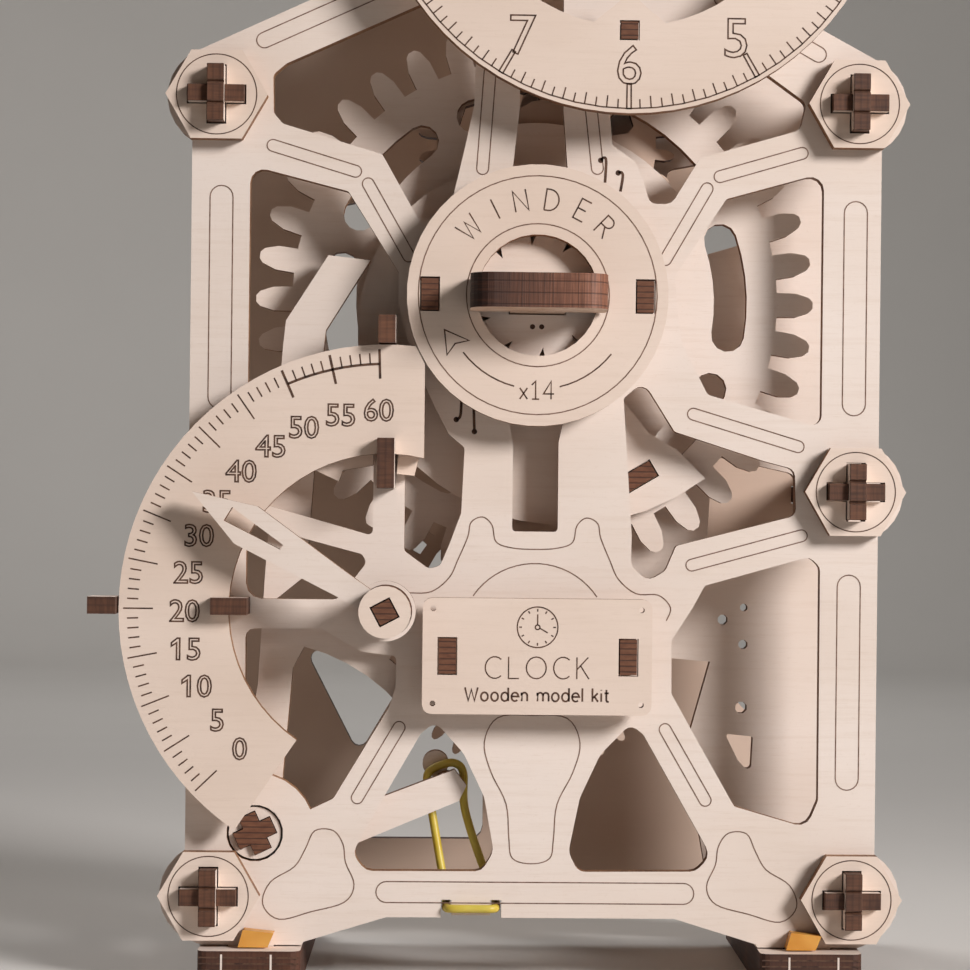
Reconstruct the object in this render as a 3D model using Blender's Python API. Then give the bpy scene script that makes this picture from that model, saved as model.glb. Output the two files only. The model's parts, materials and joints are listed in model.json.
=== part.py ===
"""A mechanical clock cut from birch plywood, as an assembly of flat pieces.

Outlines are in millimetres, x to the right and z up from the ground, seen from the front.
Depth runs along y in layers of one ply each: the front plate is layer 0, and lower layers are
nearer to the viewer. Every piece hangs on one empty that puts the origin under the clock's box.
"""

import math

import bmesh
import bpy
from mathutils import Vector

MM = 0.001

# The sheet: one ply, and the pitch that leaves a gap between two layers that touch.
PLY = 3.7
PITCH = 4.0
GAP = 0.3
SLOT_GAP = 0.3
ARC_STEP = math.radians(14)
CORNER_STEP = math.radians(31)
WIDE_CORNER = 4.0
SHORTEST = 0.08

# The frame, from the ground up.
COLUMN_OUT = 75.7
POST_X = 70.2
POST_Z = {"lower": 19.3, "middle": 108.7, "upper": 193.7}
LOBE_R = 11.0
CAP_R = 11.1
CROSS = 12.3
MIDDLE_LAYER = 6
BACK_LAYER = 16
POST_BACK = 72.0
FOOT_W = 22.2
FOOT_X = 61.1
FOOT_H = 8.0
FOOT_FRONT = -8.0
FOOT_BACK = 76.0
TAB_W = 10.0

# Shift of the frame's own axes to the middle of the clock's bounding box.
SHIFT_X = 7.4
SHIFT_Y = -28.2

# Axes, as (x, z).
KEY = (0.0, 150.6)
HOUR = (19.1, 246.2)
HAND = (-32.2, 81.9)
LEVER = (-60.5, 32.7)
CLICK = (19.5, 165.0)

# Gears: teeth of each pair, and the module that fits their centre distance.
MAIN_TEETH, SECOND_PINION = 40, 10
MAIN_MODULE = 2.92
HOUR_PINION, IDLER_TEETH = 10, 30
IDLER_MODULE = 1.8
IDLER_PINION, HOUR_TEETH = 8, 32
HOUR_MODULE = 3.1
SECOND_TEETH, ESCAPE_PINION = 36, 8
SECOND_MODULE = 1.8
HAND_PINION, RACK_TEETH = 10, 70
RACK_TURN = 44.0
RACK_COUNT = 7
ESCAPE_TEETH = 15
RATCHET_TEETH = 10
RATCHET_R, RATCHET_ROOT = 15.4, 11.2
PRESSURE = math.radians(16)
UNDERCUT = 1.5
TIP_ROUND = 0.3
TIP_NARROWING = 0.55
# The main wheel's teeth are this much thicker than half the pitch, its pinion's thinner.
STOUT = 0.7
PLAY = 1.0

ARBOR = 5.0
HAND_ARBOR = 4.2
KEY_ARBOR = 6.0
BORE = 3.9
KEY_BORE = 4.7

# The dials, the round plate behind the key and the nameplate.
DIAL_R = 56.4
DIAL_OPENING = 37.7
DIAL_PEG_R = 38.5
DIAL_PEG_ANGLES = (270, 210)
SCALE_OUT, SCALE_IN = 57.6, 34.0
SCALE_END = 236.0
SCALE_RIGHT = 7.9
SCALE_CLIP_Z = 82.6
SCALE_CLIP_X = -32.5
WINDING_R, WINDING_HOLE = 28.4, 13.2
NAMEPLATE = (0.7, 72.2)

# The snail that the lever reads, and the peg that keys it to the main wheel.
SNAIL_LOW, SNAIL_HIGH = 12.6, 54.6
SNAIL_STEP = -45.7
PEG_R, PEG_ANGLE = 45.3, -59.0

# Hands, lever and pendulum at rest.
HAND_ANGLE = 148.6
HAND_ARBOR_TURN = 28.0
HOUR_HAND_TURN = 40.0
SHAFT_TURN = 25.0
BAND_PEG = (41.6, 10.7)
BOB_DROP = 70.0

COLOURS = {
    "ply": (0.78, 0.66, 0.55, 1.0, 0.62),
    "burnt": (0.16, 0.07, 0.04, 1.0, 0.7),
    "amber": (0.62, 0.25, 0.03, 1.0, 0.4),
    "yellow": (0.6, 0.5, 0.1, 1.0, 0.45),
}


def polar(centre, radius, degrees):
    """The point at this radius and angle, counterclockwise from +x."""
    a = math.radians(degrees)
    return (centre[0] + radius * math.cos(a), centre[1] + radius * math.sin(a))


def circles_meet(a, b, from_a, from_b, side):
    """Where two circles cross, on the left (+1) or right (-1) of the line from a to b."""
    to_b = Vector(b) - Vector(a)
    along = (from_a**2 - from_b**2 + to_b.length_squared) / (2 * to_b.length)
    off = side * math.sqrt(from_a**2 - along**2)
    u = to_b.normalized()
    return (a[0] + u.x * along - u.y * off, a[1] + u.y * along + u.x * off)


IDLER = circles_meet(
    KEY,
    HOUR,
    IDLER_MODULE * (HOUR_PINION + IDLER_TEETH) / 2,
    HOUR_MODULE * (IDLER_PINION + HOUR_TEETH) / 2,
    1,
)
SECOND = (KEY[0], KEY[1] - MAIN_MODULE * (MAIN_TEETH + SECOND_PINION) / 2)
ESCAPE = polar(SECOND, SECOND_MODULE * (SECOND_TEETH + ESCAPE_PINION) / 2, 60)
PENDULUM = (ESCAPE[0], ESCAPE[1] + 29.0)
RACK_MODULE = 2 * math.dist(LEVER, HAND) / (HAND_PINION + RACK_TEETH)


# ---------------------------------------------------------------- outlines


def arc(centre, radius, start, end, step=None):
    """Points from one angle to the other, in degrees, both ends included."""
    step = math.degrees(ARC_STEP) if step is None else step
    count = max(1, math.ceil(abs(end - start) / step))
    return [polar(centre, radius, start + (end - start) * i / count) for i in range(count + 1)]


def circle(centre, radius, sides=16):
    return [polar(centre, radius, 360 * (i + 0.5) / sides) for i in range(sides)]


def rectangle(centre, width, height, turn=0.0):
    c, s = math.cos(math.radians(turn)), math.sin(math.radians(turn))
    corners = [(-1, -1), (1, -1), (1, 1), (-1, 1)]
    out = []
    for i, j in corners:
        x, z = i * width / 2, j * height / 2
        out.append((centre[0] + x * c - z * s, centre[1] + x * s + z * c))
    return out


def rounded(points):
    """An outline whose corners given as (x, z, radius) are arcs."""
    out = []
    for i, point in enumerate(points):
        corner = Vector(point[:2])
        radius = point[2] if len(point) > 2 else 0
        if not radius:
            out.append(tuple(corner))
            continue
        to_last = Vector(points[i - 1][:2]) - corner
        to_next = Vector(points[(i + 1) % len(points)][:2]) - corner
        half = to_last.angle(to_next) / 2
        reach = min(radius / math.tan(half), 0.48 * to_last.length, 0.48 * to_next.length)
        radius = reach * math.tan(half)
        middle = (to_last.normalized() + to_next.normalized()).normalized()
        centre = corner + middle * radius / math.sin(half)
        first = to_last.normalized() * reach + corner - centre
        last = to_next.normalized() * reach + corner - centre
        start = math.atan2(first.y, first.x)
        sweep = (math.atan2(last.y, last.x) - start + math.pi) % (2 * math.pi) - math.pi
        step = CORNER_STEP if radius < WIDE_CORNER else CORNER_STEP / 2
        count = max(2, math.ceil(abs(sweep) / step))
        for k in range(count + 1):
            out.append(polar(centre, radius, math.degrees(start + sweep * k / count)))
    return [p for i, p in enumerate(out) if math.dist(p, out[i - 1]) > SHORTEST]


def mirrored(points):
    return [(-p[0], *p[1:]) for p in points]


def cross(centre, size=CROSS, bar=PLY):
    """A plus sign, the section of two planks that are halved into each other."""
    a, b = bar / 2, size / 2
    quarter = [(b, a), (a, a), (a, b)]
    out = []
    for turn in range(4):
        for x, z in quarter:
            for _ in range(turn):
                x, z = -z, x
            out.append((centre[0] + x, centre[1] + z))
    return out


def cross_hole(centre):
    return cross(centre, CROSS + 2 * SLOT_GAP, PLY + 2 * SLOT_GAP)


def square_hole(centre, size, turn=0.0):
    return rectangle(centre, size + 2 * SLOT_GAP, size + 2 * SLOT_GAP, turn)


def tooth_half_angle(teeth, module, radius, backlash):
    """Half of an involute tooth's angle at a radius. Below the base circle it is undercut."""
    pitch = teeth * module / 2
    base = pitch * math.cos(PRESSURE)
    at_pitch = math.pi / (2 * teeth) - backlash / (2 * pitch)
    at_base = at_pitch + math.tan(PRESSURE) - PRESSURE
    if radius <= base:
        return at_base * (1 - UNDERCUT * (base - radius) / base)
    a = math.acos(base / radius)
    return at_base - (math.tan(a) - a)


def teeth_between(teeth, module, first, last, add=1.0, ded=1.3, backlash=0.5, turn=0.0):
    """The profile of a gear's teeth first to last - 1, tooth 0 at angle turn (degrees).

    The corners of each tip are taken off, as a round would.
    """
    pitch = teeth * module / 2
    root, tip = pitch - ded * module, pitch + add * module
    flank = pitch if teeth > 20 else pitch - 0.4 * module
    levels = [root, flank, tip - TIP_ROUND * module, tip]
    halves = [math.degrees(tooth_half_angle(teeth, module, r, backlash)) for r in levels]
    halves[-1] *= TIP_NARROWING
    out = []
    for k in range(first, last):
        middle = turn + 360 * k / teeth
        sides = list(zip(levels, halves))
        out += [polar((0, 0), r, middle - h) for r, h in sides]
        out += [polar((0, 0), r, middle + h) for r, h in reversed(sides)]
    return out


def gear(teeth, module, **how):
    return teeth_between(teeth, module, 0, teeth, **how)


def sector_window(inner, outer, start, end, corner=1.5):
    """A window between two radii and two angles, its corners cut."""
    cut_out = math.degrees(corner / outer)
    cut_in = math.degrees(corner / inner)
    return (
        arc((0, 0), outer, start + cut_out, end - cut_out, 15)
        + [polar((0, 0), outer - corner, end)]
        + [polar((0, 0), inner + corner, end)]
        + arc((0, 0), inner, end - cut_in, start + cut_in, 20)
        + [polar((0, 0), inner + corner, start)]
        + [polar((0, 0), outer - corner, start)]
    )


def ring_slot(inner, outer, start, end):
    """A window along a ring, its two ends round."""
    middle, half = (inner + outer) / 2, (outer - inner) / 2
    turn = math.degrees(half / middle)
    first, last = start + turn, end - turn
    first_end, last_end = polar((0, 0), middle, first), polar((0, 0), middle, last)
    return (
        arc((0, 0), outer, first, last, 6)[:-1]
        + arc(last_end, half, last, last + 180, 30)[:-1]
        + arc((0, 0), inner, last, first, 6)[:-1]
        + arc(first_end, half, first + 180, first + 360, 30)[:-1]
    )


# ---------------------------------------------------------------- solids


def material(name):
    """A plain finish with the colour and roughness of this stuff."""
    found = bpy.data.materials.get(name)
    if found:
        return found
    red, green, blue, alpha, roughness = COLOURS[name]
    made = bpy.data.materials.new(name)
    made.use_nodes = True
    shader = made.node_tree.nodes["Principled BSDF"]
    shader.inputs["Base Color"].default_value = (red, green, blue, alpha)
    shader.inputs["Roughness"].default_value = roughness
    made.diffuse_color = (red, green, blue, alpha)
    return made


def extruded(name, loops, low, high):
    """A mesh of the outline and its holes, between two local heights."""
    curve = bpy.data.curves.new(name, "CURVE")
    curve.dimensions = "2D"
    curve.fill_mode = "BOTH"
    curve.extrude = (high - low) / 2 * MM
    for loop in loops:
        spline = curve.splines.new("POLY")
        spline.points.add(len(loop) - 1)
        for point, (x, z) in zip(spline.points, loop):
            point.co = (x * MM, z * MM, 0, 1)
        spline.use_cyclic_u = True
    outline = bpy.data.objects.new(name, curve)
    mesh = bpy.data.meshes.new_from_object(outline)
    bpy.data.objects.remove(outline)
    bpy.data.curves.remove(curve)
    bm = bmesh.new()
    bm.from_mesh(mesh)
    bmesh.ops.remove_doubles(bm, verts=bm.verts, dist=1e-6)
    bmesh.ops.recalc_face_normals(bm, faces=bm.faces)
    bmesh.ops.translate(bm, verts=bm.verts, vec=(0, 0, (low + high) / 2 * MM))
    bm.to_mesh(mesh)
    bm.free()
    return mesh


class Clock:
    """The empty that carries the pieces, and how a flat piece is stood on it."""

    FACING = {"front": (90, 0, 0), "flat": (0, 0, 0), "side": (90, 0, 90)}

    def __init__(self):
        self.empty = bpy.data.objects.new("clock_frame", None)
        self.empty.location = (SHIFT_X * MM, SHIFT_Y * MM, 0)
        bpy.context.scene.collection.objects.link(self.empty)

    def put(self, name, mesh, colour, at, facing="front"):
        """An object with its origin at a point (x, y, z)."""
        mesh.name = name
        mesh.materials.append(material(colour))
        piece = bpy.data.objects.new(name, mesh)
        piece.parent = self.empty
        piece.location = [v * MM for v in at]
        piece.rotation_euler = [math.radians(v) for v in self.FACING[facing]]
        bpy.context.scene.collection.objects.link(piece)
        return piece

    def facing_front(self, name, loops, front, back, axis=(0, 0), colour="ply"):
        """A piece whose outline is seen from the front, drawn about its own axis."""
        mesh = extruded(name, loops, -back, -front)
        return self.put(name, mesh, colour, (axis[0], 0, axis[1]))

    def layer(self, name, loops, layer, axis=(0, 0), colour="ply"):
        """One ply in a layer."""
        front = layer * PITCH
        return self.facing_front(name, loops, front, front + PLY, axis, colour)

    def lying(self, name, loops, low, high, colour="ply"):
        """A plank seen from above: its outline is (x, y)."""
        return self.put(name, extruded(name, loops, low, high), colour, (0, 0, 0), "flat")

    def edgewise(self, name, loops, left, right, colour="ply"):
        """A plank seen from its side: its outline is (y, z)."""
        return self.put(name, extruded(name, loops, left, right), colour, (0, 0, 0), "side")

    def join(self, piece, loops, front, back):
        """Adds another length of a different section to a piece, as one solid."""
        mesh = extruded(piece.name + "_part", loops, -back, -front)
        other = self.put(piece.name + "_part", mesh, "ply", (0, 0, 0))
        other.location = piece.location
        other.hide_render = True
        other.display_type = "WIRE"
        union = piece.modifiers.new("join", "BOOLEAN")
        union.operation = "UNION"
        union.solver = "EXACT"
        union.object = other


# ---------------------------------------------------------------- frame


def roof_and_sides():
    """The outer edge of the front plate, counterclockwise from the middle of its lower edge."""
    low, mid, top = POST_Z["lower"], POST_Z["middle"], POST_Z["upper"]
    lobe = math.degrees(math.acos((COLUMN_OUT - POST_X) / LOBE_R))
    tab = TAB_W / 2
    leg = FOOT_H + GAP
    foot = [
        (31.6, 14.5),
        (49.6, 9.0),
        (50.0, leg),
        (FOOT_X - tab, leg),
        (FOOT_X - tab, leg / 2),
        (FOOT_X + tab, leg / 2),
        (FOOT_X + tab, leg),
        (72.2, leg),
    ]
    right = (
        foot
        + arc((POST_X, low), LOBE_R, -74, lobe)
        + arc((POST_X, mid), LOBE_R, -lobe, lobe)
        + arc((POST_X, top), LOBE_R, -lobe, 65)
    )
    left = (
        mirrored(foot)
        + [(-p[0], p[1]) for p in arc((POST_X, low), LOBE_R, -74, lobe)]
        + [(-p[0], p[1]) for p in arc((POST_X, top), LOBE_R, -lobe, 65)]
    )
    boss = arc(HOUR, LOBE_R, -30, 125)
    return right + [(33.5, 225.9)] + boss + [(0.0, 238.7)] + left[::-1]


FRONT_WINDOWS = {
    "upper_right": [
        (41.5, 172.9, 1),
        (30.3, 155.8, 1),
        (30.9, 148.5),
        (32.0, 141.0),
        (34.8, 135.6, 1),
        (37.8, 129.8, 1),
        (63.0, 122.8, 2),
        (63.0, 179.0, 3),
    ],
    "middle_right": [
        (23.6, 132.6, 2.4),
        (19.3, 128.8, 1),
        (21.4, 98.6, 1),
        (21.3, 92.0, 2.5),
        (25.0, 88.6, 2.5),
        (28.9, 91.0, 2),
        (31.2, 96.5, 1),
        (57.6, 103.4, 2),
        (57.2, 113.6, 2),
        (50.2, 115.4, 1),
        (30.6, 121.6, 1),
    ],
    "lower_right": [
        (37.6, 87.8, 1),
        (35.0, 82.9, 1),
        (30.4, 75.7, 1),
        (30.5, 64.0, 1),
        (36.6, 53.2, 1),
        (44.6, 39.3, 1),
        (60.6, 34.7, 3),
        (63.1, 40.7, 2),
        (63.0, 92.1, 2),
        (60.7, 94.4, 2),
    ],
    "foot_right": [
        (21.5, 57.2, 3),
        (15.0, 50.5, 6),
        (10.6, 41.0, 6),
        (8.2, 29.0, 4),
        (10.4, 24.7, 2.5),
        (36.2, 24.9, 3),
        (39.6, 28.4, 3),
        (31.5, 42.6, 2),
        (24.4, 55.0, 2),
    ],
    "foot_left": [
        (-21.3, 57.4, 3),
        (-24.4, 54.8, 2),
        (-31.5, 42.4, 2),
        (-39.2, 28.4, 3),
        (-36.2, 24.6, 3),
        (-10.8, 24.7, 2.5),
        (-8.2, 29.0, 4),
        (-10.4, 41.0, 6),
        (-15.0, 50.5, 6),
    ],
    "roof_left": [
        (-58.2, 198.7, 1.5),
        (-58.0, 190.3, 1.5),
        (-56.0, 188.0, 1.5),
        (-34.2, 181.6, 1),
        (-25.8, 166.9, 1),
        (-20.5, 168.5, 1.5),
        (-18.6, 172.6, 1),
        (-16.2, 183.0, 1),
        (-14.2, 192.6, 1),
        (-13.4, 220.4, 1),
        (-55.3, 201.2, 1.5),
    ],
    "between_bars": [
        (-4.2, 224.0, 1),
        (-4.2, 192.0),
        (-5.9, 176.0, 1),
        (6.7, 176.0, 1),
        (5.4, 192.0),
        (5.2, 224.0, 1),
    ],
    "roof_right": [
        (15.6, 198.0, 1.5),
        (15.7, 190.8, 1),
        (16.2, 184.4, 1),
        (21.4, 180.8, 2),
        (23.2, 176.4, 1),
        (24.6, 171.6, 2),
        (29.4, 171.6, 2.5),
        (35.6, 181.8, 1),
        (57.6, 188.3, 2),
        (59.0, 194.2, 2),
        (50.0, 200.6, 2),
        (33.0, 203.0, 2),
    ],
    "centre": [
        (-4.9, 99.3, 0.8),
        (5.1, 99.3, 0.8),
        (5.1, 119.0),
        (6.6, 126.0, 1),
        (-6.4, 126.0, 1),
        (-4.9, 119.0),
    ],
    "hand_upper": [
        (-63.0, 84.0, 3.5),
        (-43.0, 84.0, 2),
        (-36.6, 92.2, 1.5),
        (-37.8, 94.0, 0.8),
        (-63.0, 100.6, 1),
    ],
    "round_the_finger": [
        (-63.0, 178.8, 3),
        (-63.0, 105.8, 1),
        (-57.2, 104.1, 1),
        (-35.4, 98.0, 1),
        (-35.4, 137.0, 0.8),
        (-29.5, 137.0, 0.8),
        (-28.5, 120.0),
        (-28.5, 94.8, 1),
        (-23.1, 90.9, 1.5),
        (-20.6, 91.6, 1.5),
        (-18.7, 96.1, 1),
        (-16.1, 103.2, 1),
        (-15.5, 117.6, 1),
        (-19.0, 120.4, 1),
        (-22.2, 126.5, 2),
        (-25.6, 133.6),
        (-28.4, 141.5),
        (-30.4, 149.0),
        (-30.3, 155.8, 1),
        (-41.5, 173.4, 1),
    ],
}


def window_over_the_boss():
    """The front plate's window below the minute hand, which follows the lever's boss."""
    edge = [
        (-63.0, 77.5, 2),
        (-46.6, 77.6, 2),
        (-37.5, 72.6, 2),
        (-30.0, 71.7, 1),
        (-30.0, 65.0, 1),
        (-31.4, 60.6, 1),
        (-43.4, 40.4, 1.5),
        (-48.4, 38.0),
    ]
    return rounded(edge + arc(LEVER, 13.2, 22, 100, 13))


def front_plate(clock):
    notch = [(-19.7, 14.5), (-19.7, 18.4), (-17.3, 18.4), (-17.3, 15.0)]
    notch += [(-8.8, 15.0), (-8.8, 18.4), (-6.4, 18.4), (-6.4, 14.5)]
    holes = [rounded(points) for points in FRONT_WINDOWS.values()]
    holes += [window_over_the_boss()]
    holes += [circle(KEY, 7.6, 20), circle(HOUR, BORE), circle(HAND, 3.4)]
    holes += [circle(LEVER, 6.2, 20), circle(SECOND, BORE), circle(CLICK, 2.3)]
    holes += [cross_hole((x, z)) for x, z in post_places()]
    holes += [square_hole(p, PLY) for p in dial_pegs()]
    holes += [peg_slot(p, size) for p, size in front_pegs()]
    holes += [rectangle((-69.0, SCALE_CLIP_Z), 6.6, PLY + 2 * SLOT_GAP)]
    holes += [rectangle((SCALE_CLIP_X, 129.0), PLY + 2 * SLOT_GAP, 6.6)]
    clock.layer("front_plate", [roof_and_sides() + notch] + holes, 0)


def middle_plate(clock):
    low, mid, top = (POST_Z[k] for k in ("lower", "middle", "upper"))
    lobe = math.degrees(math.acos((COLUMN_OUT - POST_X) / LOBE_R))
    outline = (
        [(42.0, 14.0), (62.0, 12.0)]
        + arc((POST_X, low), LOBE_R, -110, lobe)
        + arc((POST_X, mid), LOBE_R, -lobe, lobe)
        + arc((POST_X, top), LOBE_R, -lobe, 70)
        + arc(HOUR, 9.0, 10, 190)
        + arc(IDLER, 9.0, 140, 200)
        + arc(KEY, 10.5, 150, 210)
        + [(-9.0, 110.0), (-12.0, 92.0)]
        + arc(HAND, 7.5, 70, 270)
        + arc(SECOND, 9.0, 240, 300)
        + [(28.0, 71.0), (41.0, 70.0), (35.5, 50.0)]
    )
    holes = [cross_hole((POST_X, z)) for z in (low, mid, top)]
    holes += [circle(KEY, KEY_BORE), circle(HAND, 3.4)]
    holes += [circle(p, BORE) for p in (HOUR, IDLER, SECOND, ESCAPE, PENDULUM)]
    holes += [rounded([(40, 96, 2), (60, 101, 2), (60, 113, 2), (41, 117, 2)])]
    holes += [rounded([(30, 160, 2), (50, 166, 2), (51, 186, 2), (30, 182, 2)])]
    holes += [circle((43.8, 79.6), 1.2, 8), circle((48.6, 82.4), 0.9, 8)]
    holes += [circle((48.5, 74.0), 1.1, 8), circle((48.2, 59.6), 1.4, 8)]
    holes += [rounded([(44.6, 53.6, 0.5), (51.0, 53.0, 0.5), (50.6, 44.4, 1), (47.6, 47.6, 1)])]
    clock.layer("middle_plate", [outline] + holes, MIDDLE_LAYER)


def back_plate(clock):
    windows = [
        [(-50, 176, 3), (-14, 184, 3), (-14, 126, 3), (-50, 118, 3)],
        [(53, 178, 3), (34, 172, 3), (34, 126, 3), (53, 118, 3)],
        [(4, 204, 3), (30, 204, 3), (24, 224, 3), (10, 224, 3)],
        [(-28, 96, 3), (-12, 99, 3), (-12, 66, 3), (-24, 76, 3)],
        [(-54, 72, 2), (-30, 62, 2), (-40, 45, 2)],
        [(63, 98, 3), (46, 98, 3), (46, 64, 3), (63, 46, 3)],
        [(-44, 25, 3), (-10, 25, 3), (-10, 54, 3), (-22, 58, 3)],
    ]
    holes = [rounded(w) for w in windows]
    holes += [cross_hole((x, z)) for x, z in post_places()]
    holes += [circle(KEY, KEY_BORE), circle(LEVER, 6.2, 20)]
    holes += [circle(p, BORE) for p in (IDLER, SECOND, ESCAPE, PENDULUM)]
    clock.layer("back_plate", [roof_and_sides()] + holes, BACK_LAYER)


def post_places():
    """The five posts: the left side has none half way up, where the lever swings."""
    left = [(-POST_X, POST_Z["lower"]), (-POST_X, POST_Z["upper"])]
    return left + [(POST_X, z) for z in POST_Z.values()]


def posts_and_caps(clock):
    for x, z in post_places():
        level = next(k for k, v in POST_Z.items() if v == z)
        name = f"{level}_{'left' if x < 0 else 'right'}"
        clock.facing_front("post_" + name, [cross((0, 0))], -8.0, POST_BACK, (x, z))
        hexagon = [polar((0, 0), CAP_R, 60 * i) for i in range(6)]
        clock.layer("front_cap_" + name, [hexagon, cross_hole((0, 0))], -1, (x, z))
        clock.layer("back_cap_" + name, [hexagon, cross_hole((0, 0))], BACK_LAYER + 1, (x, z))


def feet(clock):
    for side, sign in (("left", -1), ("right", 1)):
        x = sign * FOOT_X
        half = FOOT_W / 2
        edge = [(x - half, FOOT_FRONT, 2), (x + half, FOOT_FRONT, 2)]
        edge += [(x + half, FOOT_BACK, 2), (x - half, FOOT_BACK, 2)]
        slots = [
            rectangle((x, layer * PITCH + PLY / 2), TAB_W + 2 * SLOT_GAP, PLY + 2 * SLOT_GAP)
            for layer in (0, BACK_LAYER)
        ]
        clock.lying("foot_" + side, [rounded(edge)] + slots, 0.0, FOOT_H)
        pad = rectangle((sign * 59.8, FOOT_H + GAP + 1.9), 7.8, 3.8)
        pad = rounded([(px, pz, 1) for px, pz in pad])
        clock.facing_front("foot_rubber_" + side, [pad], -4.3, -GAP, colour="amber")


# ---------------------------------------------------------------- dials and plates

def dial_pegs():
    return [polar(HOUR, DIAL_PEG_R, angle) for angle in DIAL_PEG_ANGLES]


def front_pegs():
    """Where the flat pegs go that hold the winding plate and the nameplate, and their size."""
    winding, name = (PLY, 6.9), (PLY, 7.6)
    return [
        ((-23.4, KEY[1]), winding),
        ((23.4, KEY[1]), winding),
        ((-18.8, NAMEPLATE[1]), name),
        ((20.5, NAMEPLATE[1]), name),
    ]


def peg_slot(centre, size):
    return rectangle(centre, size[0] + 2 * SLOT_GAP, size[1] + 2 * SLOT_GAP)


def hour_dial(clock):
    """A ring whose opening has a lobe round each of its two pegs."""
    opening = []
    for i in range(60):
        a = 6.0 * i
        near = min(abs((a - b + 180) % 360 - 180) for b in DIAL_PEG_ANGLES)
        lobe = 7.5 * max(0.0, 1 - (near / 9) ** 2)
        opening.append(polar((0, 0), DIAL_OPENING - lobe, a))
    holes = [square_hole((x - HOUR[0], z - HOUR[1]), PLY) for x, z in dial_pegs()]
    ring = [polar((0, 0), DIAL_R, 5 * i) for i in range(72)]
    clock.layer("hour_dial", [ring, opening] + holes, -3, HOUR)
    for name, (x, z) in zip(("lower", "left"), dial_pegs()):
        peg = rectangle((0, 0), PLY, PLY)
        clock.facing_front("dial_peg_" + name, [peg], -12.2, PLY, (x, z), "burnt")


def minute_scale(clock):
    """The retrograde scale and the two planks that clip it to the frame."""
    inner_end = math.degrees(math.acos(SCALE_RIGHT / SCALE_IN))
    clear = WINDING_R + GAP
    to_key = (KEY[0] - HAND[0], KEY[1] - HAND[1])
    corner = circles_meet((0, 0), to_key, SCALE_OUT, clear, 1)
    below = (SCALE_RIGHT, to_key[1] - math.sqrt(clear**2 - (to_key[0] - SCALE_RIGHT) ** 2))
    outer_end = math.degrees(math.atan2(corner[1], corner[0]))
    outline = [below] + arc((0, 0), SCALE_OUT, outer_end, SCALE_END, 4)
    outline += arc((0, 0), SCALE_IN, SCALE_END, inner_end, 6)
    clock.layer("minute_scale", [outline], -2, HAND)
    out_x, in_x = HAND[0] - SCALE_OUT - GAP, HAND[0] - SCALE_IN + GAP
    left_clip = [
        (-96.1, -12.0),
        (out_x, -12.0),
        (out_x, -4.0),
        (in_x, -4.0),
        (in_x, -8.3),
        (-69.8, -8.3),
        (-69.8, -12.0),
        (-62.0, -12.0),
        (-62.0, -GAP),
        (-66.0, -GAP),
        (-66.0, PLY),
        (-72.0, PLY),
        (-72.0, -GAP),
        (-96.1, -GAP),
    ]
    z = SCALE_CLIP_Z
    clock.lying("scale_clip_left", [left_clip], z - PLY / 2, z + PLY / 2, "burnt")
    out_z, in_z = HAND[1] + SCALE_OUT + GAP, HAND[1] + SCALE_IN - GAP
    top_clip = [
        (-12.0, 108.4),
        (-GAP, 108.4),
        (-GAP, 126.0),
        (PLY, 126.0),
        (PLY, 132.0),
        (-GAP, 132.0),
        (-GAP, 145.7),
        (-12.0, 145.7),
        (-12.0, out_z),
        (-4.0, out_z),
        (-4.0, in_z),
        (-8.3, in_z),
        (-8.3, 119.2),
        (-12.0, 119.2),
    ]
    x = SCALE_CLIP_X
    clock.edgewise("scale_clip_top", [top_clip], x - PLY / 2, x + PLY / 2, "burnt")


def winding_plate(clock):
    ring = circle((0, 0), WINDING_R, 48)
    slots = [peg_slot((x, 0), size) for (x, z), size in front_pegs()[:2]]
    loops = [ring, circle((0, 0), WINDING_HOLE, 32)] + slots
    clock.layer("winding_plate", loops, -2, KEY)


def nameplate(clock):
    x, z = NAMEPLATE
    edge = rounded([(px, pz, 2) for px, pz in rectangle(NAMEPLATE, 49.8, 25.2)])
    holes = [circle(p, 0.65, 8) for p in rectangle(NAMEPLATE, 45.2, 20.6)]
    holes += [peg_slot(p, size) for p, size in front_pegs()[2:]]
    clock.layer("nameplate", [edge] + holes, -2)


def flat_pegs(clock):
    names = ("winding_plate_peg_left", "winding_plate_peg_right")
    names += ("nameplate_peg_left", "nameplate_peg_right")
    for name, (centre, size) in zip(names, front_pegs()):
        peg = rectangle((0, 0), *size)
        clock.facing_front(name, [peg], -8.0, PLY, centre, "burnt")


# ---------------------------------------------------------------- winding key


def winding_handle(clock):
    """Two planks face to face, with a grip in front of the plate and a tang through it."""
    edge = [
        (-14.7, -23.3, 5),
        (14.7, -23.3, 5),
        (14.7, -8.6, 1),
        (6.0, -8.6),
        (6.0, 3.4),
        (-6.0, 3.4),
        (-6.0, -8.6),
        (-14.7, -8.6, 1),
    ]
    loops = [rounded(edge)]
    mesh = extruded("winding_handle", loops, -PLY, PLY)
    clock.put("winding_handle", mesh, "burnt", (KEY[0], 0, KEY[1]), "flat")


def ratchet_disc(clock):
    """A disc with a saw's teeth round its edge and a slot for the handle's tang."""
    saw = []
    for i in range(RATCHET_TEETH):
        a = 25 + 360 * i / RATCHET_TEETH
        saw += [polar((0, 0), RATCHET_ROOT, a), polar((0, 0), RATCHET_R, a + 1)]
        saw += [polar((0, 0), RATCHET_R, a + 20), polar((0, 0), RATCHET_R - 1.4, a + 29)]
    tang = rectangle((0, 0), 12.6, 2 * PLY + 2 * SLOT_GAP)
    clock.layer("ratchet_disc", [saw, tang], -1, KEY)


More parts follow.
